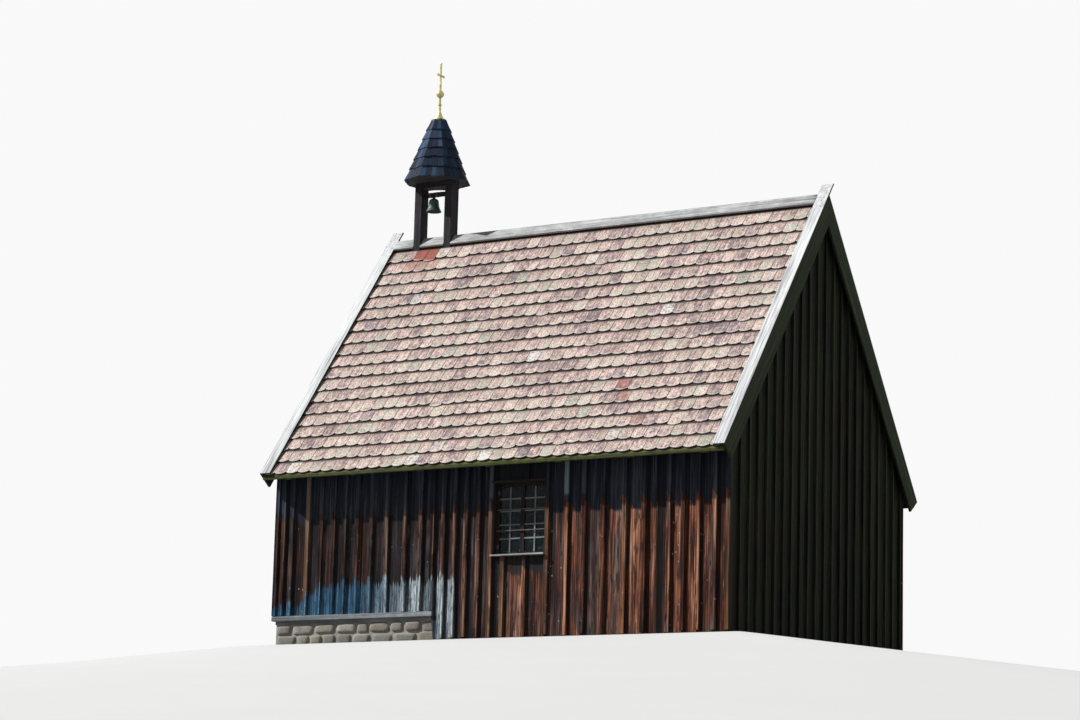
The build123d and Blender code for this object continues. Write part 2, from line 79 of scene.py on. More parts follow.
# Floor: a pad a little larger than the plan, falling away all round below the low camera. It
# looks pale and throws little light back, as the grass in the photo does.
PAD_MARGIN = 0.1
FLOOR_FALL = 0.13
FLOOR_EDGE = 0.15
FLOOR_RINGS = (0, 0.03, 0.06, 0.1, 0.15, 0.22, 0.32, 0.5, 0.8, 1.3, 2.2, 4, 8, 16, 32, 75)
FLOOR_COLOUR = (0.66, 0.66, 0.655)
FLOOR_BOUNCE = (0.11, 0.11, 0.105)

# Roof
PITCH = radians(53)
TILE_COURSES = 19
TILE_GAUGE = 0.217
GAUGE_GROWTH = 0.0009
TILE_LENGTH = 0.31
TILE_WIDTH = 0.1792
TILE_THICKNESS = 0.018
TILE_ARC = 0.031
TILE_GAP = 0.003
TILE_TILT = 0.0735
TILE_ARC_STEPS = 8
TILE_BEVEL = 0.0035
TILE_SUNK = 0.0012
NARROWEST_TILE = 0.012
TILE_SLIP = (0.012, 0.038)
# Shift of the underside's course values, by which the tail faces take painted shade
TAIL_FACE_SHADE_SHIFT = 0.02
FRESH_TILES_X = (-2.80, -2.34)
SLIPPED_SHARE = 0.03
FRESH_SHARE = 0.010
PALE_SHARE = 0.005
PALE_EAVES_SHARE = 0.05

# Walls. The strips are numbered from the uphill end of the front wall.
BOARD_THICKNESS = 0.021
CLADDING_THICKNESS = 0.045
STRIP_BACK = BOARD_THICKNESS - 0.013
BOARD_STEP = 0.3
BOARD_SWAY = 0.0022
BOARD_BULGE = 0.0016
BOARD_SUNK = 0.0012
BOARD_GAP = 0.001
FRAME_LAP = 0.012
LEDGE_END_X = -0.844
GABLE_TOP_DEPTH = 0.062
BARE_STRIPS = {3: 0.62, 17: 0.25, 18: 0.5, 21: 0.3, 25: 0.3, 31: 0.5}
BLEACHED_STRIPS = {22: 0.75, 23: 0.15, 17: 0.25}
BARE_BATTEN_X = (2.284, 2.306)
# Heights where the painted shade of the eaves begins on the long walls
EAVES_SHADE_FROM_Z = (1.575, 1.600)
OPEN_PLINTH_X = -0.95
STONE_CORNERS = 0.42

# Spire
SPIRE_SIDES = 8
SPIRE_TOP_RADIUS = 0.118
SPIRE_FLARE = 0.008
SPIRE_FLARE_HEIGHT = 0.120
SHINGLE_TAILS = (0.0, 0.163, 0.308, 0.448, 0.588, 0.728)
SHINGLE_WIDTH = 0.085
SHINGLE_THICKNESS = 0.0105
SHINGLE_LENGTH = 0.20
SHINGLE_GAP = 0.0025

# Finial: radius and height over the spire of its skirt and stem and of the collar under them
SKIRT_AND_STEM = (
    (0.078, 0.0), (0.0775, 0.008), (0.070, 0.015), (0.054, 0.030), (0.042, 0.052), (0.032, 0.080),
    (0.022, 0.106), (0.018, 0.115), (0.017, 0.20), (0.024, 0.202), (0.029, 0.207), (0.029, 0.213),
    (0.024, 0.218), (0.017, 0.220), (0.0165, 0.300),
)
COLLAR = ((0.098, -0.040), (0.106, -0.036), (0.106, -0.014), (0.101, -0.006), (0.080, -0.0005))
BALL_RADIUS = 0.053
BALL_HEIGHT = 0.361

# Cross: shares of a bar's length and of its width there
CROSS_WIDTH = 0.034
CROSS_FLARES = (
    (0, 0.85), (0.03, 1.0), (0.09, 0.85), (0.16, 0.74), (0.84, 0.74), (0.91, 0.85), (0.97, 1.0), (1, 0.85),
)

# Bell: shares of its radius and height, down the inside and up the outside
BELL_HEIGHT = 0.190
BELL_PROFILE = (
    (0.12, 0.945), (0.40, 0.875), (0.50, 0.80), (0.53, 0.70), (0.56, 0.55), (0.62, 0.38), (0.72, 0.22),
    (0.83, 0.10), (0.90, 0.03), (0.955, 0.0), (1.0, 0.012), (0.995, 0.045), (0.93, 0.085), (0.875, 0.13),
    (0.885, 0.138), (0.885, 0.150), (0.855, 0.158), (0.78, 0.26), (0.715, 0.37), (0.67, 0.48), (0.64, 0.60),
    (0.652, 0.607), (0.652, 0.622), (0.632, 0.63), (0.618, 0.72), (0.630, 0.728), (0.630, 0.745),
    (0.61, 0.755), (0.60, 0.80), (0.55, 0.86), (0.44, 0.915), (0.31, 0.955), (0.17, 1.0), (0.145, 1.01),
)
LOOP_RADIUS = 0.0045
LOOP_REACH = 0.022
LOOP_RISE = 0.0145
LOOP_SUNK = 0.003
PIN_RADIUS = 0.008

# Windows: bars as shares of the height down from the top, and the knob's reach and radius
BARS_DOWN = (0.18, 0.366, 0.578, 0.790)
IRON_BARS_DOWN = (0.345, 0.670)
KNOB = (
    (0.0, 0.004), (0.004, 0.005), (0.010, 0.004), (0.013, 0.008), (0.018, 0.010), (0.023, 0.007),
    (0.025, 0.002),
)

# Door: shares of a nail's radius and height, and half the height of a strap along its length
DOOR_PLANKS = 5
STUD = ((1.0, 0.0), (0.95, 0.35), (0.70, 0.8), (0.25, 1.0))
STRAP = ((0, 0.026), (0.06, 0.024), (0.75, 0.015), (0.86, 0.013), (0.90, 0.026), (0.95, 0.030), (1, 0.006))

# Wood colours: in the cracks, between and on the pale streaks
WOOD_STEPS = (0.38, 0.55, 0.74)
GREY = ((0.20, 0.21, 0.22), (0.50, 0.51, 0.51), (0.80, 0.81, 0.80))
BARS = ((0.13, 0.14, 0.145), (0.31, 0.33, 0.345), (0.50, 0.54, 0.56))
MOSSY = ((0.036, 0.034, 0.017), (0.074, 0.076, 0.030), (0.14, 0.145, 0.060))
MOSS = (0.095, 0.125, 0.026)
# The turret's timbers: dark weathered wood, darkened and cooled further as painted shade of the trees
TURRET = ((0.010, 0.009, 0.011), (0.034, 0.030, 0.033), (0.11, 0.115, 0.14))
WINDOW = ((0.008, 0.006, 0.006), (0.022, 0.016, 0.015), (0.070, 0.056, 0.052))
DOOR = ((0.035, 0.021, 0.014), (0.12, 0.066, 0.04), (0.28, 0.17, 0.11))
INNER = ((0.10, 0.065, 0.038), (0.22, 0.15, 0.09), (0.36, 0.26, 0.17))

Z = Vector((0, 0, 1))
SQUARE = ((-1, -1), (1, -1), (1, 1), (-1, 1))
roof_low, roof_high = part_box("front_roof_tiles")
APEX = roof_high.z
EAVES = -roof_low.y


def roof_height(y, depth=0.0):
    """Height of the plane that lies square below the tiles by this depth."""
    return APEX - abs(y) * tan(PITCH) - depth / cos(PITCH)


def turns(count):
    """Angles spread evenly round a circle."""
    return [2 * pi * step / count for step in range(count)]


# Camera, light and floor
def make_camera():
    turn, tilt, roll = radians(CAMERA_TURN), radians(CAMERA_TILT), radians(CAMERA_ROLL)
    forward = Vector((-sin(turn) * cos(tilt), cos(turn) * cos(tilt), sin(tilt)))
    right = Vector((cos(turn), sin(turn), 0))
    up = right.cross(forward)
    across = cos(roll) * right + sin(roll) * up
    upright = cos(roll) * up - sin(roll) * right
    camera = bpy.data.objects.new("camera", bpy.data.cameras.new("camera"))
    camera.data.lens = CAMERA_LENS
    camera.data.clip_end = 400
    axes = Matrix((across, upright, -forward)).transposed().to_4x4()
    camera.matrix_world = Matrix.Translation(CAMERA_PLACE) @ axes
    bpy.context.collection.objects.link(camera)
    bpy.context.scene.camera = camera


def make_lights():
    bearing, height = radians(SUN_BEARING), radians(SUN_HEIGHT)
    towards_sun = Vector((-sin(bearing) * cos(height), -cos(bearing) * cos(height), sin(height)))
    sun = bpy.data.objects.new("key", bpy.data.lights.new("key", "SUN"))
    sun.data.energy = SUN_STRENGTH
    sun.data.angle = radians(SUN_SOFTNESS)
    sun.rotation_mode = "QUATERNION"
    sun.rotation_quaternion = towards_sun.to_track_quat("Z", "Y")
    bpy.context.collection.objects.link(sun)

    world = bpy.data.worlds.new("world")
    bpy.context.scene.world = world
    world.use_nodes = True
    tree = world.node_tree
    background = tree.nodes["Background"]
    background.inputs["Color"].default_value = (1, 1, 1, 1)
    strength = tree.nodes.new("ShaderNodeMapRange")
    strength.inputs["To Min"].default_value = SKY_STRENGTH
    strength.inputs["To Max"].default_value = BACKGROUND
    tree.links.new(in_view(tree), strength.inputs["Value"])
    tree.links.new(strength.outputs["Result"], background.inputs["Strength"])


def in_view(tree):
    """1 for what the camera sees, also through glass or in a mirror, and 0 for light thrown back."""
    rays = tree.nodes.new("ShaderNodeLightPath").outputs
    seen = rays["Is Camera Ray"]
    for ray in ("Is Glossy Ray", "Is Transmission Ray"):
        either = tree.nodes.new("ShaderNodeMath")
        either.operation = "MAXIMUM"
        tree.links.new(seen, either.inputs[0])
        tree.links.new(rays[ray], either.inputs[1])
        seen = either.outputs[0]
    return seen


def make_floor():
    """Rings of points round the plan, level on the pad and falling away outside it."""
    half_x, half_y = cad_high.x + PAD_MARGIN, cad_high.y - 0.25 + PAD_MARGIN
    steps = 128
    points, faces = [(0, 0, 0)], []
    for distance in FLOOR_RINGS:
        for angle in turns(steps):
            ray = Vector((cos(angle), sin(angle), 0))
            reach = min(half_x / max(abs(ray.x), 1e-6), half_y / max(abs(ray.y), 1e-6))
            drop = FLOOR_FALL * (hypot(distance, FLOOR_EDGE) - FLOOR_EDGE)
            points.append(ray * (reach + distance) - Z * drop)
    for step in range(steps):
        after = (step + 1) % steps
        faces.append((0, 1 + step, 1 + after))
        for ring in range(len(FLOOR_RINGS) - 1):
            low, high = 1 + ring * steps, 1 + (ring + 1) * steps
            faces.append((low + step, high + step, high + after, low + after))
    mesh = bpy.data.meshes.new("floor")
    mesh.from_pydata(points, [], faces)
    mesh.shade_smooth()
    floor = bpy.data.objects.new("floor", mesh)
    bpy.context.collection.objects.link(floor)
    look = Look("floor", "z")
    pale = look.cloud(0.8, 2).ramp((0.3, FLOOR_COLOUR), (0.7, [c * 1.02 for c in FLOOR_COLOUR]))
    look.colour = look.mix(Value(look, in_view(look.tree)), FLOOR_BOUNCE, pale)
    look.finish(0.9)
    mesh.materials.append(look.material)


# Materials
looks = {}


class Value:
    """One output of a node. Sums, products and smooth steps of it make further nodes."""

    def __init__(self, look, socket):
        self.look, self.socket = look, socket

    def __add__(self, other):
        return self.look.math("ADD", self, other)

    def __sub__(self, other):
        return self.look.math("SUBTRACT", self, other)

    def __rsub__(self, other):
        return self.look.math("SUBTRACT", other, self)

    def __mul__(self, other):
        return self.look.math("MULTIPLY", self, other)

    def __abs__(self):
        return self.look.math("ABSOLUTE", self)

    def rise(self, low, high, out_low=0.0, out_high=1.0):
        """A smooth step between two values."""
        inputs = {"Value": self, "From Min": low, "From Max": high, "To Min": out_low, "To Max": out_high}
        return self.look.add("ShaderNodeMapRange", inputs, interpolation_type="SMOOTHSTEP")

    def ramp(self, *stops):
        """Colours at places along the value."""
        colour = self.look.add("ShaderNodeValToRGB", {"Fac": self})
        elements = colour.socket.node.color_ramp.elements
        while len(elements) < len(stops):
            elements.new(0.5)
        for element, (place, shade) in zip(elements, stops):
            element.position = place
            element.color = (*shade, 1)
        return colour


class Look:
    """One node material, whose colour is built up in coats. Its grain runs along Z of look.grain."""

    def __init__(self, name, run):
        self.name = name
        self.material = bpy.data.materials.new(name)
        self.material.use_nodes = True
        self.tree = self.material.node_tree
        self.place = self.add("ShaderNodeTexCoord", output="Object")
        self.grain = self.make_grain(run)
        self.colour = None

    def add(self, kind, inputs=(), output=0, **settings):
        """A new node, of which one output is handed back."""
        node = self.tree.nodes.new(kind)
        for setting, value in settings.items():
            setattr(node, setting, value)
        for name, value in dict(inputs).items():
            self.feed(node.inputs[name], value)
        return Value(self, node.outputs[output])

    def feed(self, socket, value):
        """Links a value to an input, or writes a plain number, vector or colour into it."""
        if isinstance(value, Value):
            self.tree.links.new(value.socket, socket)
        elif value is not None:
            socket.default_value = (*value, 1) if socket.type == "RGBA" else value

    def attribute(self, name, output="Fac"):
        return self.add("ShaderNodeAttribute", output=output, attribute_name=name)

    def split(self, vector):
        node = self.add("ShaderNodeSeparateXYZ", {"Vector": vector}).socket.node
        return [Value(self, output) for output in node.outputs]

    def join(self, x, y, z):
        return self.add("ShaderNodeCombineXYZ", {"X": x, "Y": y, "Z": z})

    def normal(self):
        return self.split(self.add("ShaderNodeNewGeometry", output="Normal"))

    def course(self):
        """What the piece stores of each point's place on its tile, shingle or board."""
        return self.split(self.attribute("course", "Vector"))

    def make_grain(self, run):
        """Coordinates with Z along the grain: stored with the piece, or object axes in turn."""
        if run == "piece":
            return self.attribute("grain", "Vector")
        if run == "z":
            return self.place
        x, y, z = self.split(self.place)
        if run == "x":
            return self.join(y, z, x)
        aside = abs(y)
        rise = z * sin(PITCH) - aside * cos(PITCH)
        return self.join(x, z * cos(PITCH) + aside * sin(PITCH), rise)

    def math(self, kind, a, b=None):
        return self.add("ShaderNodeMath", {0: a, 1: b}, operation=kind)

    def larger(self, a, b):
        return self.math("MAXIMUM", a, b)

    def stretch(self, x, y, z):
        """The grain's coordinates times three numbers."""
        return self.add("ShaderNodeVectorMath", {0: self.grain, 1: (x, y, z)}, operation="MULTIPLY")

    def noise(self, vector, scale, detail, roughness):
        inputs = {"Vector": vector, "Scale": scale, "Detail": detail, "Roughness": roughness}
        return self.add("ShaderNodeTexNoise", inputs)

    def cloud(self, scale, detail, roughness=0.55):
        """Noise through the whole object."""
        return self.noise(self.place, scale, detail, roughness)

    def fibre(self, across, along, detail, roughness=0.55):
        """Noise drawn out along the grain."""
        return self.noise(self.stretch(across, across, along), 1, detail, roughness)

    def cells(self, vector, scale, channel, share):
        """Distance to the nearest random point, and 1 where that point belongs to a chosen share."""
        inputs = {"Vector": vector, "Scale": scale}
        outputs = self.add("ShaderNodeTexVoronoi", inputs).socket.node.outputs
        lot = self.split(Value(self, outputs["Color"]))[channel]
        return Value(self, outputs["Distance"]), self.math("LESS_THAN", lot, share)

    def mix(self, amount, a, b, blend="MIX"):
        return self.add("ShaderNodeMix", {0: amount, 6: a, 7: b}, 2, data_type="RGBA", blend_type=blend)

    def tinted(self, tint):
        """The colour so far times another colour."""
        return self.mix(1.0, self.colour, tint, "MULTIPLY")

    def coat(self, amount, colour):
        """Lays a colour over the colour so far."""
        self.colour = self.mix(amount, self.colour, colour)

    def dim(self, value):
        """Multiplies the colour so far by a grey value."""
        self.colour = self.tinted(self.join(value, value, value))

    def finish(self, roughness, height=None, distance=0.002, strength=0.8, gloss=0.5, **inputs):
        """Ends the look with its shader and keeps the material under its name."""
        shader = self.tree.nodes["Principled BSDF"].inputs
        settings = {"Base Color": self.colour, "Roughness": roughness, "Specular IOR Level": gloss}
        settings.update(inputs)
        if height is not None:
            bump = {"Strength": strength, "Distance": distance, "Height": height}
            settings["Normal"] = self.add("ShaderNodeBump", bump)
        for name, value in settings.items():
            self.feed(shader[name], value)
        looks[self.name] = self.material


def wood_streaks(look):
    """Fine, middle and broad streaks along the grain, each about 0 to 1."""
    return look.fibre(190, 3.2, 3), look.fibre(46, 1.1, 4, 0.6), look.fibre(11, 0.9, 3)


def wood_tone(look, crack):
    """How pale each streak is, and the height of the wood with its cracks sunk."""
    fine, middle, broad = wood_streaks(look)
    tone = middle * 0.62 + (fine * 0.28 + broad * 0.22)
    return tone, middle * 0.7 + (fine * 0.5 + crack * -0.8)


def wood_knots(look, share):
    """Dark knots at random places, 1 in their middle, and the greyer wood round them."""
    distance, chosen = look.cells(look.stretch(6.5, 0.01, 1.9), 1, 0, share)
    return distance.rise(0.11, 0.05) * chosen, distance.rise(0.34, 0.12) * chosen


def old_wood(name, run, colours, moss=None):
    """Weathered timber: three colours along the streaks, with cracks, knots and blotches."""
    look = Look(name, run)
    dark = colours[0]
    crack = look.fibre(120, 1.6, 2).rise(0.37, 0.31)
    tone, height = wood_tone(look, crack)
    look.colour = tone.ramp(*zip(WOOD_STEPS, colours))
    look.dim(look.cloud(5.5, 4, 0.6).rise(0.35, 0.7, 0.78, 1.12))
    look.coat(crack * 0.75, [c * 0.3 for c in dark])
    look.coat(wood_knots(look, 0.45)[0] * 0.8, [c * 0.55 for c in dark])
    if moss is not None:
        look.coat(look.cloud(9, 5, 0.65).rise(0.42, 0.62) * 0.7, moss)
    look.finish(0.85, height, 0.003, 0.7, 0.2)


def reveal_wood():
    """The long walls' own timber: brown inside, and as dark as the window in its reveals."""
    look = Look("reveal_timber", "z")
    tone = wood_streaks(look)[1]
    reveal, rooms = (tone.ramp(*zip(WOOD_STEPS, colours)) for colours in (WINDOW, INNER))
    look.colour = look.mix(abs(look.normal()[1]).rise(0.5, 0.7), reveal, rooms)
    look.finish(0.85, tone, 0.003, 0.7, 0.2)


def wall_streaks(look, lift):
    """Streaks of a board about their mean of 0.5. Some boards and all strips are paler by a lift."""
    fine, middle, broad = wood_streaks(look)
    board = (look.attribute("tone") - 0.5) * 0.13
    streak = middle * 0.66 + fine * 0.34 + (broad - 0.5) * 0.35 + (board + look.attribute("strip") * lift)
    crack = look.fibre(95, 1.3, 2).rise(0.38, 0.32)
    return streak, middle, crack, middle * 0.8 + (fine * 0.5 + crack * -0.9)


def wall_wood():
    """Boards and strips of the long walls: black above in painted eaves shade, red-brown below, grey at the
    uphill foot.
    """
    look = Look("weathered_boards", "piece")
    streak, middle, crack, height = wall_streaks(look, 0.03)
    names = ("tone", "strip", "warm", "pale", "bleached")
    tone, strip, warm, bare, bleached = (look.attribute(name) for name in names)
    x, _, z = look.split(look.place)
    across = look.course()[0]
    sway = middle - 0.5

    # Red-brown, or drab where it is worn, then bluer and darker towards the uphill end as painted shade of
    # the trees
    red = streak.ramp(
        (0.37, (0.014, 0.007, 0.007)),
        (0.46, (0.062, 0.023, 0.016)),
        (0.53, (0.170, 0.060, 0.036)),
        (0.60, (0.44, 0.175, 0.098)),
        (0.70, (0.84, 0.46, 0.29)),
    )
    drab = streak.ramp(
        (0.38, (0.012, 0.009, 0.010)),
        (0.50, (0.048, 0.031, 0.029)),
        (0.60, (0.135, 0.098, 0.090)),
        (0.72, (0.36, 0.31, 0.29)),
    )
    worn = (look.fibre(9, 1.5, 4, 0.6) - warm * 0.34).rise(0.30, 0.42)
    look.colour = look.mix(worn * 0.85, red, drab)
    look.coat(look.fibre(17, 3.0, 3).rise(0.54, 0.64) * 0.78, (0.026, 0.016, 0.014))
    # Painted shade of the trees: a cool tint, then darkening, towards the uphill end
    look.coat(x.rise(0.9, -0.6, 0.0, 0.8), look.tinted((0.80, 1.12, 1.45)))
    look.dim(x.rise(-1.9, 0.7, 0.38, 1.0))

    # Black under the eaves: darker wood with painted shade of the eaves, its edge slanting on each board and
    # strip like painted hooks of the eaves' shadow
    dark_wood_and_eaves_shade = streak.ramp(
        (0.40, (0.013, 0.015, 0.022)),
        (0.54, (0.040, 0.048, 0.068)),
        (0.68, (0.125, 0.155, 0.200)),
    )
    edge = z + sway * 0.10 + tone * 0.03
    shadow_hook_on_strip = across.rise(0.0, 0.055, -0.13, -0.06)
    shadow_hook_on_board = across.rise(0.07, 0.15, -0.02, 0.065)
    slant = shadow_hook_on_strip * strip + shadow_hook_on_board * (1.0 - strip)
    look.coat((edge + slant).rise(*EAVES_SHADE_FROM_Z), dark_wood_and_eaves_shade)

    # Painted shadow of the sill, black under the window, and bleached strips beside it
    window_low, window_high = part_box("front_window_frame")
    left, right, foot = window_low[0] - 0.02, window_high[0] + 0.02, window_low[2]
    # Painted shadow of the sill on the boards under the window
    under = x.rise(left, left + 0.03) * x.rise(right, right - 0.03)
    under = under * (edge + slant * 0.6).rise(foot - 0.19, foot - 0.15)
    look.coat(under * 0.85, (0.020, 0.022, 0.026))
    bloom = bleached * streak.rise(0.36, 0.50, 0.2, 1.0)
    look.coat(bloom * z.rise(1.70, 1.76), (0.42, 0.52, 0.58))

    # Grey at the uphill foot: blue-grey and darker at its end as painted shade of the trees, nearly white
    # towards the middle of the wall
    grey_in_painted_shade = streak.ramp(
        (0.37, (0.006, 0.018, 0.034)),
        (0.50, (0.036, 0.112, 0.202)),
        (0.66, (0.155, 0.345, 0.53)),
    )
    white = streak.ramp(
        (0.37, (0.040, 0.052, 0.064)),
        (0.49, (0.29, 0.355, 0.415)),
        (0.62, (0.84, 0.93, 0.98)),
    )
    grey = look.mix(x.rise(-2.0, -1.1), grey_in_painted_shade, white)
    stain = look.fibre(38, 9, 4, 0.65).rise(0.50, 0.60)
    grey = look.mix(stain * 0.62, grey, (0.030, 0.042, 0.058))
    top = x.rise(-3.14, -2.35, 0.44, 0.71) - x.rise(-0.54, -0.48, 0.0, 0.9)
    top = top + (strip * 0.055 + tone * 0.045) + sway * 0.42
    foot = (z - top).rise(0.02, -0.02)
    look.coat(foot, grey)

    # Bare wood on a few strips, and painted shadow of each strip on the board beside it
    tan_wood = look.mix(z.rise(1.1, 1.7), (0.38, 0.200, 0.100), (0.44, 0.35, 0.25))
    whole = look.larger(bare.rise(0.54, 0.58), z.rise(1.62, 1.50))
    whole = whole * (1.0 - foot * 0.85) * streak.rise(0.36, 0.52, 0.25, 1.0)
    look.coat(bare * whole, tan_wood)
    # Painted shadow of each strip on the board to its right, weaker towards the uphill end
    beside = across - strip
    beside = beside.rise(0.090, 0.066) * beside.rise(0.0, 0.001) * x.rise(-1.9, -0.9, 0.2, 1.0)
    look.dim(beside.rise(0.0, 1.0, 1.0, 0.27))

    knot, ring = wood_knots(look, 0.42)
    look.coat(ring * z.rise(1.5, 1.4, 0.0, 0.6), (0.105, 0.095, 0.100))
    look.coat(knot * 0.88, (0.012, 0.009, 0.009))
    distance, chosen = look.cells(look.stretch(42, 0.01, 24), 1, 1, 0.022)
    speck = distance.rise(0.36, 0.16) * chosen
    look.coat(speck * z.rise(1.55, 1.35, 0.0, 0.8), (0.56, 0.54, 0.52))
    look.coat(crack * 0.8, (0.006, 0.005, 0.005))
    look.finish(0.8, height, 0.004, 0.8, 0.12)


def gable_wood():
    """The gable boards: nearly black with an olive cast, as dark wood in painted shade."""
    look = Look("shaded_boards", "piece")
    streak, middle, crack, height = wall_streaks(look, 0.05)
    look.colour = streak.ramp(
        (0.38, (0.003, 0.004, 0.003)),
        (0.52, (0.013, 0.016, 0.010)),
        (0.68, (0.060, 0.070, 0.045)),
    )
    look.coat(look.cloud(2.3, 3).rise(0.4, 0.62) * 0.25, (0.030, 0.019, 0.013))
    look.coat(crack * 0.8, (0.005, 0.005, 0.004))
    look.finish(0.8, height, 0.004, 0.8, 0.12)


def tile_clay():
    """Old clay tiles, pink to tan with olive lichen, mottled within each tile and over several."""
    look = Look("tile_clay", "piece")
    tone, fresh, pale = (look.attribute(name) for name in ("tone", "fresh", "pale"))
    across, under, along = look.course()
    cloud = look.cloud(12, 4, 0.65)
    run = look.fibre(42, 6, 3, 0.6)
    grit = look.cloud(52, 4, 0.75)
    sand = look.cloud(150, 3, 0.7)
    hue = tone * 0.42 + look.cloud(1.9, 3, 0.6) * 0.75 + (cloud * 1.15 + run * 0.85) - 1.08
    look.colour = hue.ramp(
        (0.20, (0.285, 0.222, 0.228)),
        (0.36, (0.430, 0.340, 0.330)),
        (0.48, (0.590, 0.440, 0.392)),
        (0.58, (0.660, 0.525, 0.455)),
        (0.70, (0.560, 0.525, 0.440)),
        (0.84, (0.420, 0.425, 0.375)),
    )
    look.dim(look.math("FRACT", tone * 17.3).rise(0.0, 1.0, 0.88, 1.12))
    look.dim(grit.rise(0.34, 0.66, 0.55, 1.42))
    look.dim(sand.rise(0.28, 0.72, 0.80, 1.20))
    look.dim(run.rise(0.33, 0.67, 0.84, 1.16))
    look.coat(along.rise(0.07, 0.21, 0.0, 0.55), look.tinted((0.80, 0.68, 0.68)))
    soot = (cloud * 0.7 + look.cloud(4.1, 4) * 0.5).rise(0.51, 0.42)
    look.coat(soot * 0.45, (0.17, 0.140, 0.140))
    look.coat(look.cloud(36, 4, 0.7).rise(0.60, 0.72) * 0.45, (0.80, 0.74, 0.66))
    distance, chosen = look.cells(look.place, 46, 2, 0.13)
    look.coat(distance.rise(0.40, 0.20) * chosen * 0.75, (0.12, 0.10, 0.095))

    # Fresh red tiles, pale lichen, a pale rim at the tail as painted highlight, and dark joints with painted
    # shade on the tail faces and painted shadow under the tails
    bright = grit.rise(0.3, 0.7, 0.75, 1.25)
    red = look.mix(cloud, (0.22, 0.050, 0.042), (0.46, 0.150, 0.115))
    look.coat(fresh, look.mix(1.0, red, look.join(bright, bright, bright), "MULTIPLY"))
    look.coat(pale * look.cloud(26, 4, 0.6).rise(0.40, 0.56), (0.78, 0.79, 0.74))
    # Painted highlight: a pale rim along each tail
    look.coat(along.rise(0.020, 0.005, 0.0, 0.5), (0.78, 0.74, 0.70))
    # Painted shade on the tail faces, dark side joints, and painted shadow just under each tail
    shade = (0.035, 0.030, 0.028)
    look.coat(along.rise(-0.001, -0.006, 0.0, 0.92), shade)
    head = look.larger(under.rise(0.060, 0.012, 0.0, 0.35), under.rise(0.026, 0.014, 0.0, 0.93))
    look.coat(look.larger(abs(across).rise(0.90, 1.0, 0.0, 0.75), head), shade)
    look.finish(0.9, sand * 0.5 + cloud, 0.003, 0.6, 0.15)


def shingle_wood():
    look = Look("shingle_wood", "piece")
    fine, middle, _ = wood_streaks(look)
    # Nearly black navy blue: dark shingles with painted shade of the trees in blue sky light
    value = middle * 0.5 + fine * 0.3 + look.attribute("tone") * 0.34
    look.colour = value.ramp(
        (0.42, (0.003, 0.007, 0.016)),
        (0.57, (0.009, 0.022, 0.052)),
        (0.78, (0.045, 0.090, 0.170)),
    )
    look.coat(abs(look.course()[0]).rise(0.80, 1.0, 0, 0.35), (0.045, 0.09, 0.16))
    look.coat(look.cloud(16, 3).rise(0.58, 0.70) * 0.1, (0.06, 0.05, 0.04))
    look.finish(0.8, middle + fine * 0.5, 0.003, 0.8, 0.2)


def verge_wood():
    """Verge boards: silver where they face up, and sides dark green, partly moss and partly painted shade."""
    look = Look("verge_timber", "piece")
    crack = look.fibre(110, 1.4, 2).rise(0.38, 0.31)
    tone, height = wood_tone(look, crack)
    silver = tone.ramp((0.40, (0.22, 0.235, 0.25)), (0.52, (0.62, 0.64, 0.65)), (0.66, (0.90, 0.91, 0.90)))
    moss_and_painted_shade = tone.ramp(
        (0.38, (0.010, 0.014, 0.008)),
        (0.55, (0.034, 0.046, 0.024)),
        (0.72, (0.10, 0.12, 0.07)),
    )
    look.colour = look.mix(look.normal()[2].rise(0.30, 0.15), silver, moss_and_painted_shade)
    look.coat(crack * 0.8, (0.05, 0.05, 0.05))
    look.finish(0.85, height, 0.003, 0.7, 0.2)


def rubble_stone():
    look = Look("rubble_stone", "piece")
    look.colour = look.attribute("tone").ramp(
        (0.0, (0.25, 0.235, 0.21)),
        (0.35, (0.38, 0.36, 0.32)),
        (0.7, (0.33, 0.29, 0.24)),
        (1.0, (0.47, 0.45, 0.41)),
    )
    grit, cloud = look.cloud(60, 5, 0.7), look.cloud(9, 4)
    look.dim(grit.rise(0.3, 0.7, 0.75, 1.2))
    look.coat(cloud.rise(0.5, 0.68) * 0.5, (0.20, 0.21, 0.12))
    look.finish(0.9, grit + cloud, 0.005, 0.8, 0.2)


def lime_mortar():
    look = Look("lime_mortar", "z")
    grit, cloud = look.cloud(85, 5, 0.7), look.cloud(6, 4)
    look.colour = (grit * 0.5 + cloud * 0.5).ramp((0.35, (0.30, 0.285, 0.25)), (0.65, (0.55, 0.53, 0.47)))
    look.finish(0.95, grit, 0.004, 0.8, 0.2)


def old_glass():
    look = Look("old_glass", "z")
    ripple = look.cloud(7, 2)
    # Nearly opaque and dark as painted shade of the unlit room behind, with pale blotches as painted
    # reflections
    look.colour = ripple.ramp((0.35, (0.003, 0.009, 0.013)), (0.65, (0.008, 0.019, 0.025)))
    look.coat(look.cloud(16, 4, 0.7).rise(0.52, 0.70) * 0.35, (0.14, 0.18, 0.19))
    look.finish(0.06, ripple, 0.004, 0.35, 0.12, Alpha=0.82)


def old_metal(name, dark, pale, scale, metallic, roughness, rust=None):
    look = Look(name, "z")
    cloud, grit = look.cloud(scale, 5, 0.65), look.cloud(scale * 7, 4, 0.7)
    value = cloud * 0.7 + grit * 0.3
    look.colour = value.ramp((0.36, dark), (0.62, pale))
    if rust is not None:
        look.coat(look.cloud(scale * 1.7, 4).rise(0.50, 0.66, 0, 0.8), rust)
    rough = grit.rise(0.3, 0.7, roughness - 0.12, roughness + 0.15)
    look.finish(rough, value, 0.001, 0.6, Metallic=metallic)


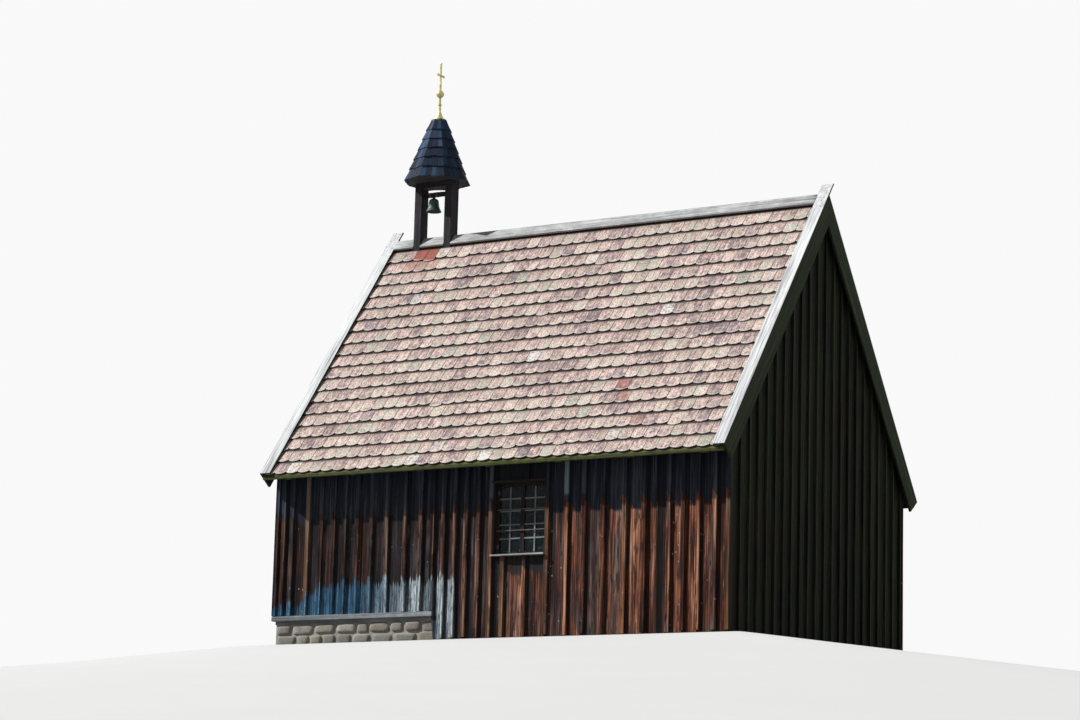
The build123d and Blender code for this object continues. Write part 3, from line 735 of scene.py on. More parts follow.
def make_looks():
    for name, run, colours in (
        ("grey_timber", "piece", GREY),
        ("turret_timber", "piece", TURRET),
        ("window_timber", "piece", WINDOW),
        ("door_timber", "piece", DOOR),
        ("pale_bars", "piece", BARS),
        ("inner_timber_x", "x", INNER),
        ("inner_timber_z", "z", INNER),
        ("inner_timber_slope", "slope", INNER),
    ):
        old_wood(name, run, colours)
    old_wood("eaves_board", "piece", MOSSY, MOSS)
    reveal_wood()
    wall_wood()
    gable_wood()
    tile_clay()
    shingle_wood()
    verge_wood()
    rubble_stone()
    lime_mortar()
    old_glass()
    old_metal("gilding", (0.30, 0.27, 0.07), (0.80, 0.72, 0.34), 30, 0.55, 0.42)
    old_metal("bell_bronze", (0.018, 0.040, 0.038), (0.06, 0.105, 0.09), 30, 0.4, 0.55)
    old_metal("bell_iron", (0.035, 0.032, 0.030), (0.13, 0.12, 0.115), 40, 0.5, 0.6, (0.16, 0.07, 0.035))
    old_metal("rod_iron", (0.22, 0.21, 0.20), (0.50, 0.49, 0.47), 40, 0.3, 0.6, (0.30, 0.18, 0.11))


# Meshes
def loft(rings):
    """A closed solid through rings of points that have the same count."""
    count, last = len(rings[0]), len(rings) - 1
    points = [Vector(point) for ring in rings for point in ring]
    faces = []
    for ring in range(last):
        low, high = ring * count, (ring + 1) * count
        for i in range(count):
            j = (i + 1) % count
            faces.append((low + i, low + j, high + j, high + i))
    faces.append(tuple(range(count))[::-1])
    faces.append(tuple(last * count + i for i in range(count)))
    return points, faces


def circle(centre, radius, count, axis):
    """A ring of points round a centre, square to one axis."""
    x, y, z = centre
    points = []
    for angle in turns(count):
        u, v = radius * cos(angle), radius * sin(angle)
        points.append({"x": (x, y + u, z + v), "y": (x + u, y, z + v), "z": (x + u, y + v, z)}[axis])
    return points


RUNS = {
    "x": lambda p: (p.y, p.z, p.x),
    "y": lambda p: (p.z, p.x, p.y),
    "z": lambda p: (p.x, p.y, p.z),
    "slope": lambda p: (
        p.x,
        abs(p.y) * sin(PITCH) + p.z * cos(PITCH),
        p.z * sin(PITCH) - abs(p.y) * cos(PITCH),
    ),
}


class Solids:
    """Gathers closed solids into one mesh. Each has its own random tone and place in the grain."""

    def __init__(self, seed):
        self.random = random.Random(seed)
        self.points, self.faces, self.grain, self.course = [], [], [], []
        self.values = {"tone": [], "strip": [], "warm": [], "fresh": [], "pale": [], "bleached": []}

    def add(self, solid, grain, tone=None, course=None, **values):
        points, faces = solid
        start = len(self.points)
        shift = Vector([self.random.uniform(0, 60) for _ in range(3)])
        self.points += points
        self.faces += [[start + i for i in face] for face in faces]
        self.grain += [Vector(g) + shift for g in grain]
        self.course += course or [(0, 0, 0)] * len(points)
        values["tone"] = self.random.random() if tone is None else tone
        for name, kept in self.values.items():
            kept += [values.get(name, 0.0)] * len(points)

    def lay(self, rings, run="z"):
        """A solid through rings of points, with its grain along one direction."""
        solid = loft(rings)
        self.add(solid, [RUNS[run](point) for point in solid[0]])

    def block(self, low, high, run="z"):
        """A plain block between two corners, whose edges are rounded later."""
        (x0, y0, z0), (x1, y1, z1) = low, high
        self.lay([[(x0, y0, z), (x1, y0, z), (x1, y1, z), (x0, y1, z)] for z in (z0, z1)], run)

    def turn(self, circles, count, axis="z", run="z"):
        """A turned solid through circles, each given by its centre and radius."""
        self.lay([circle(centre, radius, count, axis) for centre, radius in circles], run)

    def build(self, name, slot, look=None, replaces=(), **placing):
        """Makes the mesh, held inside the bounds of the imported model."""
        mesh = bpy.data.meshes.new(name)
        mesh.from_pydata([held_inside(point) for point in self.points], [], self.faces)
        for title, rows in (("grain", self.grain), ("course", self.course)):
            data = mesh.attributes.new(title, "FLOAT_VECTOR", "POINT").data
            data.foreach_set("vector", [c for row in rows for c in row])
        for title, kept in self.values.items():
            if any(kept):
                mesh.attributes.new(title, "FLOAT", "POINT").data.foreach_set("value", kept)
        place_mesh(mesh, name, slot, look or slot, replaces, **placing)


def held_inside(point):
    return [min(max(c, low), high) for c, low, high in zip(point, cad_low, cad_high)]


def place_mesh(mesh, name, slot, look, replaces=(), body="chapel", smooth=None, bevel=0.0):
    """Turns the faces outwards, rounds the edges and puts the piece on its body."""
    work = bmesh.new()
    work.from_mesh(mesh)
    bmesh.ops.recalc_face_normals(work, faces=work.faces)
    work.to_mesh(mesh)
    work.free()
    piece = bpy.data.objects.new(name, mesh)
    bpy.context.collection.objects.link(piece)
    mesh.materials.append(looks[look])
    if smooth is not None:
        mesh.shade_smooth()
        mesh.set_sharp_from_angle(angle=radians(smooth))
    if bevel:
        rounding = piece.modifiers.new("rounding", "BEVEL")
        rounding.width = bevel
        rounding.segments = 2
        rounding.limit_method = "ANGLE"
        rounding.angle_limit = radians(35)
        rounding.use_clamp_overlap = True
    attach(piece, body)
    if replaces:
        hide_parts(*replaces)


def dress(node, name, slot, look, run, bevel=0.003, waver=0.0015, step=0.35):
    """A worn copy of a modelled timber: rounded edges, slightly wavering lines and its grain."""
    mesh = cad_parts[node].data.copy()
    mesh.materials.clear()
    work = bmesh.new()
    work.from_mesh(mesh)
    bmesh.ops.remove_doubles(work, verts=work.verts, dist=1e-5)
    bmesh.ops.dissolve_limit(work, angle_limit=radians(0.5), verts=work.verts, edges=work.edges)
    along = RUNS[run]
    reach = [along(v.co)[2] for v in work.verts]
    cuts = int((max(reach) - min(reach)) / step)
    side = -1 if sum(v.co.y for v in work.verts) < 0 else 1
    slope = Vector((0, -side * cos(PITCH), sin(PITCH)))
    direction = {"x": Vector((1, 0, 0)), "z": Z, "slope": slope}[run]
    for cut in range(1, cuts + 1):
        place = direction * (min(reach) + (max(reach) - min(reach)) * cut / (cuts + 1))
        geometry = work.verts[:] + work.edges[:] + work.faces[:]
        bmesh.ops.bisect_plane(work, geom=geometry, plane_co=place, plane_no=direction, dist=1e-6)
    chance = random.Random(node)
    grains = work.verts.layers.float_vector.new("grain")
    tones = work.verts.layers.float.new("tone")
    for group in separate_solids(work):
        shift = Vector([chance.uniform(0, 60) for _ in range(3)])
        tone = chance.random()
        for vertex in group:
            vertex[grains] = Vector(along(vertex.co)) + shift
            vertex[tones] = tone
    for vertex in work.verts:
        vertex.co = held_inside(vertex.co + noise.noise_vector(vertex.co * 2.3) * waver)
    work.to_mesh(mesh)
    work.free()
    place_mesh(mesh, name, slot, look, (node,), bevel=bevel)


def separate_solids(work):
    """The vertices of each solid of a mesh."""
    seen = set()
    for first in work.verts:
        if first in seen:
            continue
        seen.add(first)
        group = [first]
        for vertex in group:
            for edge in vertex.link_edges:
                other = edge.other_vert(vertex)
                if other not in seen:
                    seen.add(other)
                    group.append(other)
        yield group


# Walls
class Wall:
    """A boarded wall seen from outside: across runs left to right and out leaves the room."""

    def __init__(self, origin, across, out):
        self.origin, self.across, self.out = Vector(origin), Vector(across), Vector(out)

    def at(self, across, depth, height):
        return self.origin + self.across * across + self.out * depth + Z * height


def add_board(solids, wall, left, right, foot, top, back, face, cup=0.0, lean=0.0, slant=0.0, **values):
    """One upright board. Its foot and top are heights across the wall. Its face is hollowed, and
    its right edge lies back by the slant."""
    width = right - left
    soft = min(0.004, width * 0.1)
    section = [
        (0, back),
        (width * 0.5, back),
        (width, back),
        (width, face - soft),
        (width - soft, face),
        (width * 0.7, face - cup * 0.8),
        (width * 0.5, face - cup),
        (width * 0.3, face - cup * 0.8),
        (soft, face),
        (0, face - soft),
    ]
    middle = (left + right) / 2
    rows = max(2, int((top(middle) - foot(middle)) / BOARD_STEP) + 1)
    rings, grain = [], []
    phase = solids.random.uniform(0, 50)
    for row in range(rows + 1):
        share = row / rows
        ring = []
        for across, depth in section:
            low, high = foot(left + across), top(left + across)
            height = low + (high - low) * share
            sway = noise.noise(Vector((phase, height * 1.4, 0))) * BOARD_SWAY + lean * (share - 0.5)
            bulge = noise.noise(Vector((phase + 9, height * 1.1, across * 4))) * BOARD_BULGE
            sunk = slant * (1 - (1 - across / width) ** 2)
            out = depth if depth == back else min(depth + bulge - BOARD_SUNK, face) - sunk
            ring.append(wall.at(left + across + sway, out, height))
            grain.append((across, depth, height))
        rings.append(ring)
    course = [(across + 0.001, 0, 0) for across, _, _ in grain]
    solids.add(loft(rings), grain, course=course, **values)


def strips_on(node, wall):
    """Left and right edges, foot and top of the modelled cover strips on one wall, in order."""
    work = bmesh.new()
    work.from_mesh(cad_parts[node].data)
    bmesh.ops.remove_doubles(work, verts=work.verts, dist=1e-5)
    found = []
    for group in separate_solids(work):
        places = [vertex.co - wall.origin for vertex in group]
        if all(abs(wall.out.dot(place)) < 0.1 for place in places):
            along = [wall.across.dot(place) for place in places]
            levels = [place.z for place in places]
            found.append((min(along), max(along), min(levels), max(levels)))
    work.free()
    return sorted(found)


def board_joints(strips, left, right):
    """The edges of the boards between two lines: the middles of the strips that cover them."""
    middles = [(strip[0] + strip[1]) / 2 for strip in strips]
    return [left] + [middle for middle in middles if left + 0.06 < middle < right - 0.06] + [right]


def level(height):
    return lambda across: height


def add_boards(solids, wall, joints, foot, top):
    """Boards of one stretch of wall, some redder than others. A narrow one is bare wood."""
    chance = solids.random
    for left, right in zip(joints, joints[1:]):
        width = right - left
        cup = chance.uniform(0.0005, 0.003)
        face = BOARD_THICKNESS - chance.uniform(0, 0.003)
        values = {"warm": chance.uniform(0.0, 1.0), "pale": 0.5 if width < 0.03 else 0.0}
        slant = min(0.010, width * 0.08)
        left, right = left + BOARD_GAP, right - BOARD_GAP
        add_board(solids, wall, left, right, foot, top, 0.0, face, cup, 0.0, slant, **values)


def add_strips(solids, wall, strips, top, bare, bleached):
    """Cover strips in their modelled places, a little uneven in width and line."""
    chance = solids.random
    for number, (left, right, foot_z, top_z) in enumerate(strips):
        foot = level(foot_z + chance.uniform(0, 0.02))
        lean = chance.uniform(-0.004, 0.004)
        face = CLADDING_THICKNESS - chance.uniform(0, 0.003)
        narrower = chance.uniform(0, 0.004)
        cup, slant = 0.0008, 0.006
        cut = level(top_z) if top_z < top((left + right) / 2) - 0.05 else top
        add_board(
            solids, wall, left + narrower, right - narrower, foot, cut, STRIP_BACK, face, cup, lean, slant,
            strip=1.0, warm=chance.uniform(0.45, 1.0),
            pale=bare.get(number, 0.0), bleached=bleached.get(number, 0.0),
        )


def make_wall(part, look, seed, wall, width, foot, top, strips, hole=None, more=()):
    """The boards of one wall, with joints under the strips, cut round its opening."""
    solids = Solids(seed)
    if hole is None:
        add_boards(solids, wall, board_joints(strips, 0.0, width), foot, top)
    else:
        left, right, hole_foot, hole_top = hole
        beside = [s for s in strips if s[1] < left + 0.01 or s[0] > right - 0.01]
        over = [s for s in strips if s not in beside and s[2] > hole_top - 0.01]
        under = [s for s in strips if s not in beside and s not in over]
        add_boards(solids, wall, board_joints(beside, 0.0, left), foot, top)
        add_boards(solids, wall, sorted(board_joints(beside, right, width) + list(more)), foot, top)
        add_boards(solids, wall, board_joints(over, left, right), level(hole_top), top)
        if hole_foot > foot((left + right) / 2) + 0.05:
            add_boards(solids, wall, board_joints(under, left, right), foot, level(hole_foot))
    solids.build(f"{part}_boards", "weathered_boards", look, (f"{part}_cladding",))


def make_long_walls():
    low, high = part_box("front_cladding")
    window_low, window_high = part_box("front_window_frame")
    window_sides = (window_low.x + FRAME_LAP, window_high.x - FRAME_LAP)
    ledge_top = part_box("ground_sill")[1].z + 0.001
    top = level(high.z)
    front = Wall((low.x, high.y, 0), (1, 0, 0), (0, -1, 0))
    back = Wall((high.x, -high.y, 0), (-1, 0, 0), (0, 1, 0))
    cover_strips = Solids(12)
    for part, wall, seed, bare, bleached, batten in (
        ("front", front, 11, BARE_STRIPS, BLEACHED_STRIPS, BARE_BATTEN_X),
        ("back", back, 22, {}, {}, ()),
    ):

        def foot(across, wall=wall):
            return ledge_top if wall.at(across, 0, 0).x < LEDGE_END_X else low.z

        sides = sorted(wall.across.x * (x - wall.origin.x) for x in window_sides)
        hole = (*sides, window_low.z, window_high.z - 0.020)
        more = [x - wall.origin.x for x in batten]
        strips = strips_on("wall_cover_strips", wall)
        make_wall(part, "weathered_boards", seed, wall, high.x - low.x, foot, top, strips, hole, more)
        add_strips(cover_strips, wall, strips, top, bare, bleached)
    cover_strips.build("wall_strips", "weathered_boards", replaces=("wall_cover_strips",))


def make_gables():
    door_low, door_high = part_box("door_frame")
    cover_strips = Solids(42)
    for side, part in ((1, "right_gable"), (-1, "left_gable")):
        low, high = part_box(f"{part}_cladding")
        width = high.y - low.y
        wall = Wall((low.x if side > 0 else high.x, -side * width / 2, 0), (0, side, 0), (side, 0, 0))
        hole = None if side > 0 else (high.y - door_high.y, high.y - door_low.y, low.z, door_high.z)

        def top(across, half=width / 2):
            return roof_height(across - half, GABLE_TOP_DEPTH) - 0.001

        strips = strips_on("gable_cover_strips", wall)
        foot = level(low.z + 0.001)
        make_wall(part, "shaded_boards", 41 + side, wall, width, foot, top, strips, hole)
        add_strips(cover_strips, wall, strips, top, {}, {})
    cover_strips.build("gable_strips", "weathered_boards", "shaded_boards", ("gable_cover_strips",))


# Roof
def slope_point(side, x, down, depth):
    """A point of a roof slope: side -1 front or 1 back, down from the apex, depth under the tiles."""
    y = side * (down * cos(PITCH) - depth * sin(PITCH))
    return Vector((x, y, APEX - down * sin(PITCH) - depth * cos(PITCH)))


def tile_outline(left, right, middle):
    """Distances across and up from the lowest point of a tile's rounded tail."""
    half = TILE_WIDTH / 2
    radius = (half * half + TILE_ARC * TILE_ARC) / (2 * TILE_ARC)
    outline = []
    for step in range(TILE_ARC_STEPS + 1):
        across = left + (right - left) * step / TILE_ARC_STEPS
        off = min(abs(across - middle), half)
        outline.append((across, radius - sqrt(radius * radius - off * off)))
    return outline


def add_tile(solids, side, left, right, middle, tail, head, shown, **values):
    """One tile with a rounded, slightly bevelled tail, lying on the course below it and shown in part."""
    twist = solids.random.uniform(-0.012, 0.012)
    lift = solids.random.uniform(0.0, 0.0018)
    length = tail - head
    half = TILE_WIDTH / 2
    corners = [(across, up, 1.0) for across, up in tile_outline(left, right, middle)]
    corners += [(right, length, 0.0), (left, length, 0.0)]
    course = [((across - middle) / half, shown - up, up * (1 - at_tail)) for across, up, at_tail in corners]

    def layer(depth, inset):
        ring = []
        for across, up, at_tail in corners:
            sunk = depth + TILE_SUNK - lift * at_tail + up * TILE_TILT + twist * (across - middle) * at_tail
            ring.append(slope_point(side, across, tail - up - inset * at_tail, max(sunk, 0.0)))
        return ring

    rings = [layer(TILE_THICKNESS, 0.0), layer(TILE_BEVEL, 0.0), layer(0.0, TILE_BEVEL)]
    grain = [(across, 0, up) for _ in rings for across, up, _ in corners]
    # The underside's course values lie past the tail, so the tail face takes the painted shade
    underside = [(across, under, along - TAIL_FACE_SHADE_SHIFT) for across, under, along in course]
    solids.add(loft(rings), grain, course=underside + course * 2, **values)


def make_tiles(side, part, seed):
    """The tiles of one slope. A few have slipped, are newer or carry pale lichen."""
    solids = Solids(seed)
    chance = solids.random
    half = roof_high.x - 0.002
    turret_low, turret_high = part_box("turret_post_left")[0].x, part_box("turret_post_right")[1].x
    post_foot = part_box("turret_post_left")[1].y / cos(PITCH)
    tail = EAVES / cos(PITCH) + TILE_GAUGE
    for course in range(TILE_COURSES):
        top_course = side < 0 and course == TILE_COURSES - 1
        tail -= TILE_GAUGE + GAUGE_GROWTH * max(course - 1, 0)
        drift = (0.5 if course % 2 else 0.0) + chance.uniform(-0.12, 0.12)
        left = -half - (1 - drift % 1) * TILE_WIDTH
        while left < half - 0.004:
            right = left + TILE_WIDTH
            start, end = max(left, -half), min(right, half)
            middle = (left + right) / 2
            left = right
            if end - start < NARROWEST_TILE:
                continue
            own = tail + chance.gauss(0, 0.005) if course else tail - abs(chance.gauss(0, 0.003))
            if course and chance.random() < SLIPPED_SHARE:
                own += chance.uniform(*TILE_SLIP)
            head = max(own - TILE_LENGTH, 0.03)
            if turret_low - 0.01 < end and start < turret_high + 0.01:
                head = max(head, post_foot + 0.004)
            fresh, pale = 0.0, 0.0
            if chance.random() < FRESH_SHARE:
                fresh = chance.uniform(0.25, 0.6)
            if chance.random() < (PALE_SHARE if course else PALE_EAVES_SHARE):
                pale = chance.uniform(0.5, 1.0)
            if side < 0 and FRESH_TILES_X[0] < middle < FRESH_TILES_X[1]:
                fresh = {TILE_COURSES - 1: 0.95, TILE_COURSES - 2: 0.4}.get(course, fresh)
            if top_course and 0 < middle - FRESH_TILES_X[1] < TILE_WIDTH:
                pale = 0.5
            drifting = 0.16 * noise.noise(Vector((middle * 0.8, course * 0.35, side)))
            tone = min(max(chance.gauss(0.50, 0.20) + drifting, 0), 1)
            gap = TILE_GAP / 2
            shown = own - tail + TILE_GAUGE + GAUGE_GROWTH * course
            values = {"tone": tone, "fresh": fresh, "pale": pale}
            add_tile(solids, side, start + gap, end - gap, middle, own, head, shown, **values)
    solids.build(f"{part}_tiles", "roof_tiles", "tile_clay", (f"{part}_roof_tiles",))


def make_eaves_boards():
    """Boards just behind the tails of the eaves tiles, up to their undersides."""
    setback, below_tiles = 0.012, 0.0265
    for side, part in ((-1, "front"), (1, "back")):
        low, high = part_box(f"{part}_fascia")
        inner, outer = min(abs(low.y), abs(high.y)), EAVES - setback
        rings = []
        for step in range(25):
            x = low.x + (high.x - low.x) * step / 24
            foot = low.z + noise.noise(Vector((x * 0.9, side, 5))) * 0.003
            section = [(y, foot) for y in (inner, outer)]
            section += [(y, roof_height(y, below_tiles)) for y in (outer, inner)]
            rings.append([(x, side * y, z) for y, z in section])
        solids = Solids(51)
        solids.lay(rings, "x")
        solids.build(f"{part}_eaves_timber", "eaves_board", replaces=(f"{part}_fascia",), bevel=0.003)


# Spire
def make_spire():
    low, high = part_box("spire_roof")
    centre = Vector(((low.x + high.x) / 2, 0, 0))
    rise, foot_radius = high.z - low.z, (high.x - low.x) / 2

    def corner(turn, height, inset):
        straight = foot_radius - SPIRE_FLARE
        straight -= (straight - SPIRE_TOP_RADIUS) * height / rise
        radius = straight + SPIRE_FLARE * max(0.0, 1 - height / SPIRE_FLARE_HEIGHT) - inset
        return centre + Vector((radius * cos(turn), radius * sin(turn), low.z + height))

    boarding = Solids(61)
    foot, bend, top = 0.004, SPIRE_FLARE_HEIGHT, rise - 0.012
    inside, outside = 0.034, 0.016
    rings = ((bend, inside), (foot, inside), (foot, outside), (bend, outside), (top, outside))
    boarding.lay([[corner(turn, height, inset) for turn in turns(SPIRE_SIDES)] for height, inset in rings])
    boarding.build("spire_boarding", "turret_timber")

    shingles = Solids(62)
    chance = shingles.random
    for course, tail in enumerate(SHINGLE_TAILS):
        head = min(tail + SHINGLE_LENGTH, rise - 0.004)
        for turn_a in turns(SPIRE_SIDES):
            turn_b = turn_a + 2 * pi / SPIRE_SIDES
            span = (corner(turn_b, tail, 0) - corner(turn_a, tail, 0)).length
            count = max(1, round(span / SHINGLE_WIDTH))
            gap = SHINGLE_GAP / span
            cuts = [(i + 1 + chance.uniform(-0.14, 0.14)) / count for i in range(count - 1)]
            for start, end in zip([0.0] + cuts, cuts + [1.0]):
                start, end = start + (gap if start else 0.0), end - (gap if end < 1 else 0.0)
                foot = tail + (chance.uniform(-0.012, 0.004) if course else chance.uniform(0.0, 0.008))
                lift = chance.uniform(0.0, 0.005) if course else 0.0
                skew = chance.uniform(-0.005, 0.005)
                rings, grain, rows = [], [], []
                layers = ((foot, 0.001 - lift, skew), ((foot + head) / 2, 0.009, 0.0), (head, 0.0145, 0.0))
                for height, out, tilt in layers:
                    sides = ((start, max(height, 0.0)), (end, max(height + tilt, 0.0)))
                    outer, inner = (
                        [corner(turn_a, h, depth).lerp(corner(turn_b, h, depth), share) for share, h in sides]
                        for depth in (out, out + SHINGLE_THICKNESS)
                    )
                    rings.append(outer + inner[::-1])
                    grain += [(share * span, 0, height) for share in (start, end, end, start)]
                    rows += [(across, 0, height - foot) for across in (-1, 1, 1, -1)]
                shingles.add(loft(rings), grain, course=rows)
    shingles.build("spire_shingles", "shingles", "shingle_wood", ("spire_roof",), bevel=0.0015)


# Finial
def make_finial():
    low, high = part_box("finial_rod")
    spire_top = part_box("spire_roof")[1].z
    middle = (low.x + high.x) / 2
    ball = spire_top + BALL_HEIGHT
    profile = [(0.012, low.z), (0.015, low.z + 0.002), (0.015, spire_top - 0.001)]
    profile += [(radius, spire_top + height) for radius, height in SKIRT_AND_STEM]
    for step in range(13):
        angle = -pi / 2 + pi * (0.10 + 0.80 * step / 12)
        profile.append((BALL_RADIUS * cos(angle), ball + BALL_RADIUS * sin(angle)))
    profile += [(0.0165, ball + 0.056), (0.016, high.z)]
    finial = Solids(71)
    finial.turn([((middle, 0, height), radius) for radius, height in profile], 40)
    finial.build("gilded_finial", "gilding", replaces=("finial_rod",), smooth=50)
    collar = Solids(73)
    collar.turn([((middle, 0, spire_top + height), radius) for radius, height in COLLAR], 40)
    collar.build("spire_collar", "turret_timber", "pale_bars", smooth=40)


def make_cross():
    """Two flat bars whose ends widen."""
    low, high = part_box("finial_cross")
    x, arm, depth = (low.x + high.x) / 2, low.z + 0.125, high.x - low.x
    through = Vector((1, 0, 0))
    solids = Solids(72)
    for start, end, across, thickness in (
        ((x, 0, low.z), (x, 0, high.z), (0, 1, 0), depth - 0.001),
        ((x, low.y, arm), (x, high.y, arm), (0, 0, 1), depth),
    ):
        start, end, across = Vector(start), Vector(end), Vector(across)
        rings = []
        for share, flare in CROSS_FLARES:
            half_w, half_t = CROSS_WIDTH / 2 * flare, thickness / 2 * min(1.0, flare + 0.12)
            middle = start.lerp(end, share)
            rings.append([middle + across * a * half_w + through * t * half_t for a, t in SQUARE])
        solids.lay(rings)
    solids.build("gilded_cross", "gilding", replaces=("finial_cross",), bevel=0.0015)


# Bell
def make_bell():
    """The turned bell with two crossed loops on its crown."""
    low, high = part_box("bell")
    x, radius = (low.x + high.x) / 2, (high.x - low.x) / 2
    solids = Solids(81)
    circles = [((x, 0, low.z + BELL_HEIGHT * up), radius * share) for share, up in BELL_PROFILE]
    solids.turn(circles, 48)
    for across in (False, True):
        loop = []
        for step in range(9):
            angle = pi * step / 8
            side, up = LOOP_REACH * cos(angle), low.z + BELL_HEIGHT + LOOP_RISE * sin(angle)
            ring = []
            for turn in turns(6):
                out, along = LOOP_RADIUS * cos(turn), LOOP_RADIUS * sin(turn)
                reach, z = side + out * cos(angle), up + out * sin(angle) - LOOP_SUNK
                ring.append((x + (reach if across else along), along if across else reach, z))
            loop.append(ring)
        solids.lay(loop)
    solids.build("bronze_bell", "bell_bronze", replaces=("bell",), body="swinging_bell", smooth=40)


def make_yoke():
    """The yoke with its shoulders, and its irons: two pins, and two straps round it over the bell."""
    low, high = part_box("bell_yoke")
    middle_z = (low.z + high.z) / 2
    half_y, half_z = (high.y - low.y) / 2, (high.z - low.z) / 2
    start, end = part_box("turret_post_left")[1].x + 0.010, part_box("turret_post_right")[0].x - 0.010
    timber = Solids(82)
    rings = []
    for share, rise in ((0, 0.80), (0.12, 0.86), (0.28, 1.0), (0.72, 1.0), (0.88, 0.86), (1, 0.80)):
        x = start + (end - start) * share
        rings.append([(x, y * half_y, middle_z + z * half_z * (rise if z > 0 else 1)) for y, z in SQUARE])
    timber.lay(rings, "x")
    timber.build("yoke_block", "turret_timber", replaces=("bell_yoke",), body="swinging_bell", bevel=0.004)
    irons = Solids(83)
    for ends in ((low.x, start + 0.02), (end - 0.02, high.x)):
        irons.turn([((x, 0, middle_z), PIN_RADIUS) for x in ends], 20, "x", "x")
    bell_low, bell_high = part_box("bell")
    y, down, up, thick = 0.0262, low.z - 0.0015, high.z + 0.0015, 0.0025
    for offset in (-0.055, 0.055):
        x = (bell_low.x + bell_high.x) / 2 + offset
        for y0, z0, y1, z1 in (
            (-y, down, -y + thick, up),
            (y - thick, down, y, up),
            (-y, up - thick, y, up),
            (-y, down, y, down + thick),
        ):
            irons.block((x - 0.010, y0, z0), (x + 0.010, y1, z1))
    irons.build("yoke_irons", "bell_iron", body="swinging_bell", bevel=0.0008)


# Windows
def make_window(side, part):
    """Glazing bars, and the irons outside them: two bars, a knob and four corner plates."""
    low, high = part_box(f"{part}_window_casements")
    outer = low.y if side < 0 else high.y
    middle = (low.x + high.x) / 2
    stile, rail = 0.028, 0.034
    top, bottom = high.z - rail, low.z + rail
    y0, y1 = sorted((outer - side * 0.013, outer - side * 0.001))
    half_upright, half_rail, lap, thin = 0.0105, 0.0095, 0.004, 0.0015 * side
    bars = Solids(91 + side)
    for left, right in ((low.x + stile, middle - stile - 0.0005), (middle + stile + 0.0005, high.x - stile)):
        centre = (left + right) / 2
        bars.block((centre - half_upright, y0, bottom - lap), (centre + half_upright, y1, top + lap))
        for share in BARS_DOWN:
            z = top - (top - bottom) * share
            low_y, high_y = y0 - min(thin, 0), y1 - max(thin, 0)
            bars.block((left - lap, low_y, z - half_rail), (right + lap, high_y, z + half_rail), "x")
    bars.build(f"{part}_glazing_bars", "window_timber", "pale_bars", bevel=0.003)

    irons = Solids(94 + side)
    for share in IRON_BARS_DOWN:
        z = top - (top - bottom) * share
        circles = []
        for step in range(13):
            x = low.x - 0.006 + (high.x - low.x + 0.012) * step / 12
            sag = 0.0015 * noise.noise(Vector((x * 9, z, side)))
            circles.append(((x, outer + side * 0.012, z + sag), 0.0065))
        irons.turn(circles, 12, "x", "x")
    x, z = middle - 0.013, bottom + 0.015
    irons.turn([((x, outer + side * reach, z), radius) for reach, radius in KNOB], 16, "y")
    y0, y1 = sorted((outer, outer + side * 0.0025))
    for x in (low.x - 0.004, high.x - 0.026):
        for z in (bottom + 0.05, top - 0.09):
            irons.block((x, y0, z), (x + 0.030, y1, z + 0.045))
    irons.build(f"{part}_window_irons", "bell_iron", smooth=40)


# Door
def make_door():
    """Five planks, and their irons: two straps with nails, and a lock plate with a ring."""
    low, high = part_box("door_leaf")
    planks = Solids(101)
    width = (high.y - low.y) / DOOR_PLANKS
    face, edge = low.x + 0.004, 0.005
    front, behind = face - 0.004, face + 0.001
    for number in range(DOOR_PLANKS):
        y0, y1 = low.y + number * width + 0.001, low.y + (number + 1) * width - 0.001
        section = [(high.x, y0), (high.x, y1), (low.x + edge + 0.004, y1)]
        section += [(face, y1 - edge), (face, y0 + edge), (low.x + edge + 0.004, y0)]
        levels = [low.z + (high.z - low.z) * step / 6 for step in range(7)]
        planks.lay([[(x, y, z) for x, y in section] for z in levels])
    planks.build("door_planks", "door_timber", replaces=("door_leaf",))

    irons = Solids(102)

    def stud(x, y, z, radius, height):
        """A round-headed nail, standing out towards -X."""
        irons.turn([((x - height * reach, y, z), radius * share) for share, reach in STUD], 12, "x")

    def along_strap(share):
        return high.y - 0.012 - (high.y - low.y - 0.10) * share

    for z in (low.z + 0.28, high.z - 0.30):
        rings = []
        for share, half in STRAP:
            y, foot, top = along_strap(share), z - half, z + half
            rings.append([(front, y, foot), (behind, y, foot), (behind, y, top), (front, y, top)])
        irons.lay(rings, "y")
        for share in (0.08, 0.28, 0.48, 0.68):
            stud(front, along_strap(share), z, 0.008, 0.0035)
    y, z = low.y + 0.075, low.z + 0.86
    irons.block((face - 0.003, y - 0.035, z - 0.085), (behind, y + 0.035, z + 0.085))
    stud(face - 0.003, y, z + 0.04, 0.016, 0.008)
    radius, wire = 0.034, 0.0045
    rings = []
    for step in range(25):
        angle = 2 * pi * step / 24
        middle = Vector((face - 0.0085, y + radius * sin(angle), z + 0.012 + radius * cos(angle)))
        out = Vector((0, sin(angle), cos(angle)))
        rings.append([middle + out * wire * cos(a) + Vector((wire * sin(a), 0, 0)) for a in turns(8)])
    irons.lay(rings)
    irons.build("door_irons", "bell_iron", bevel=0.001)


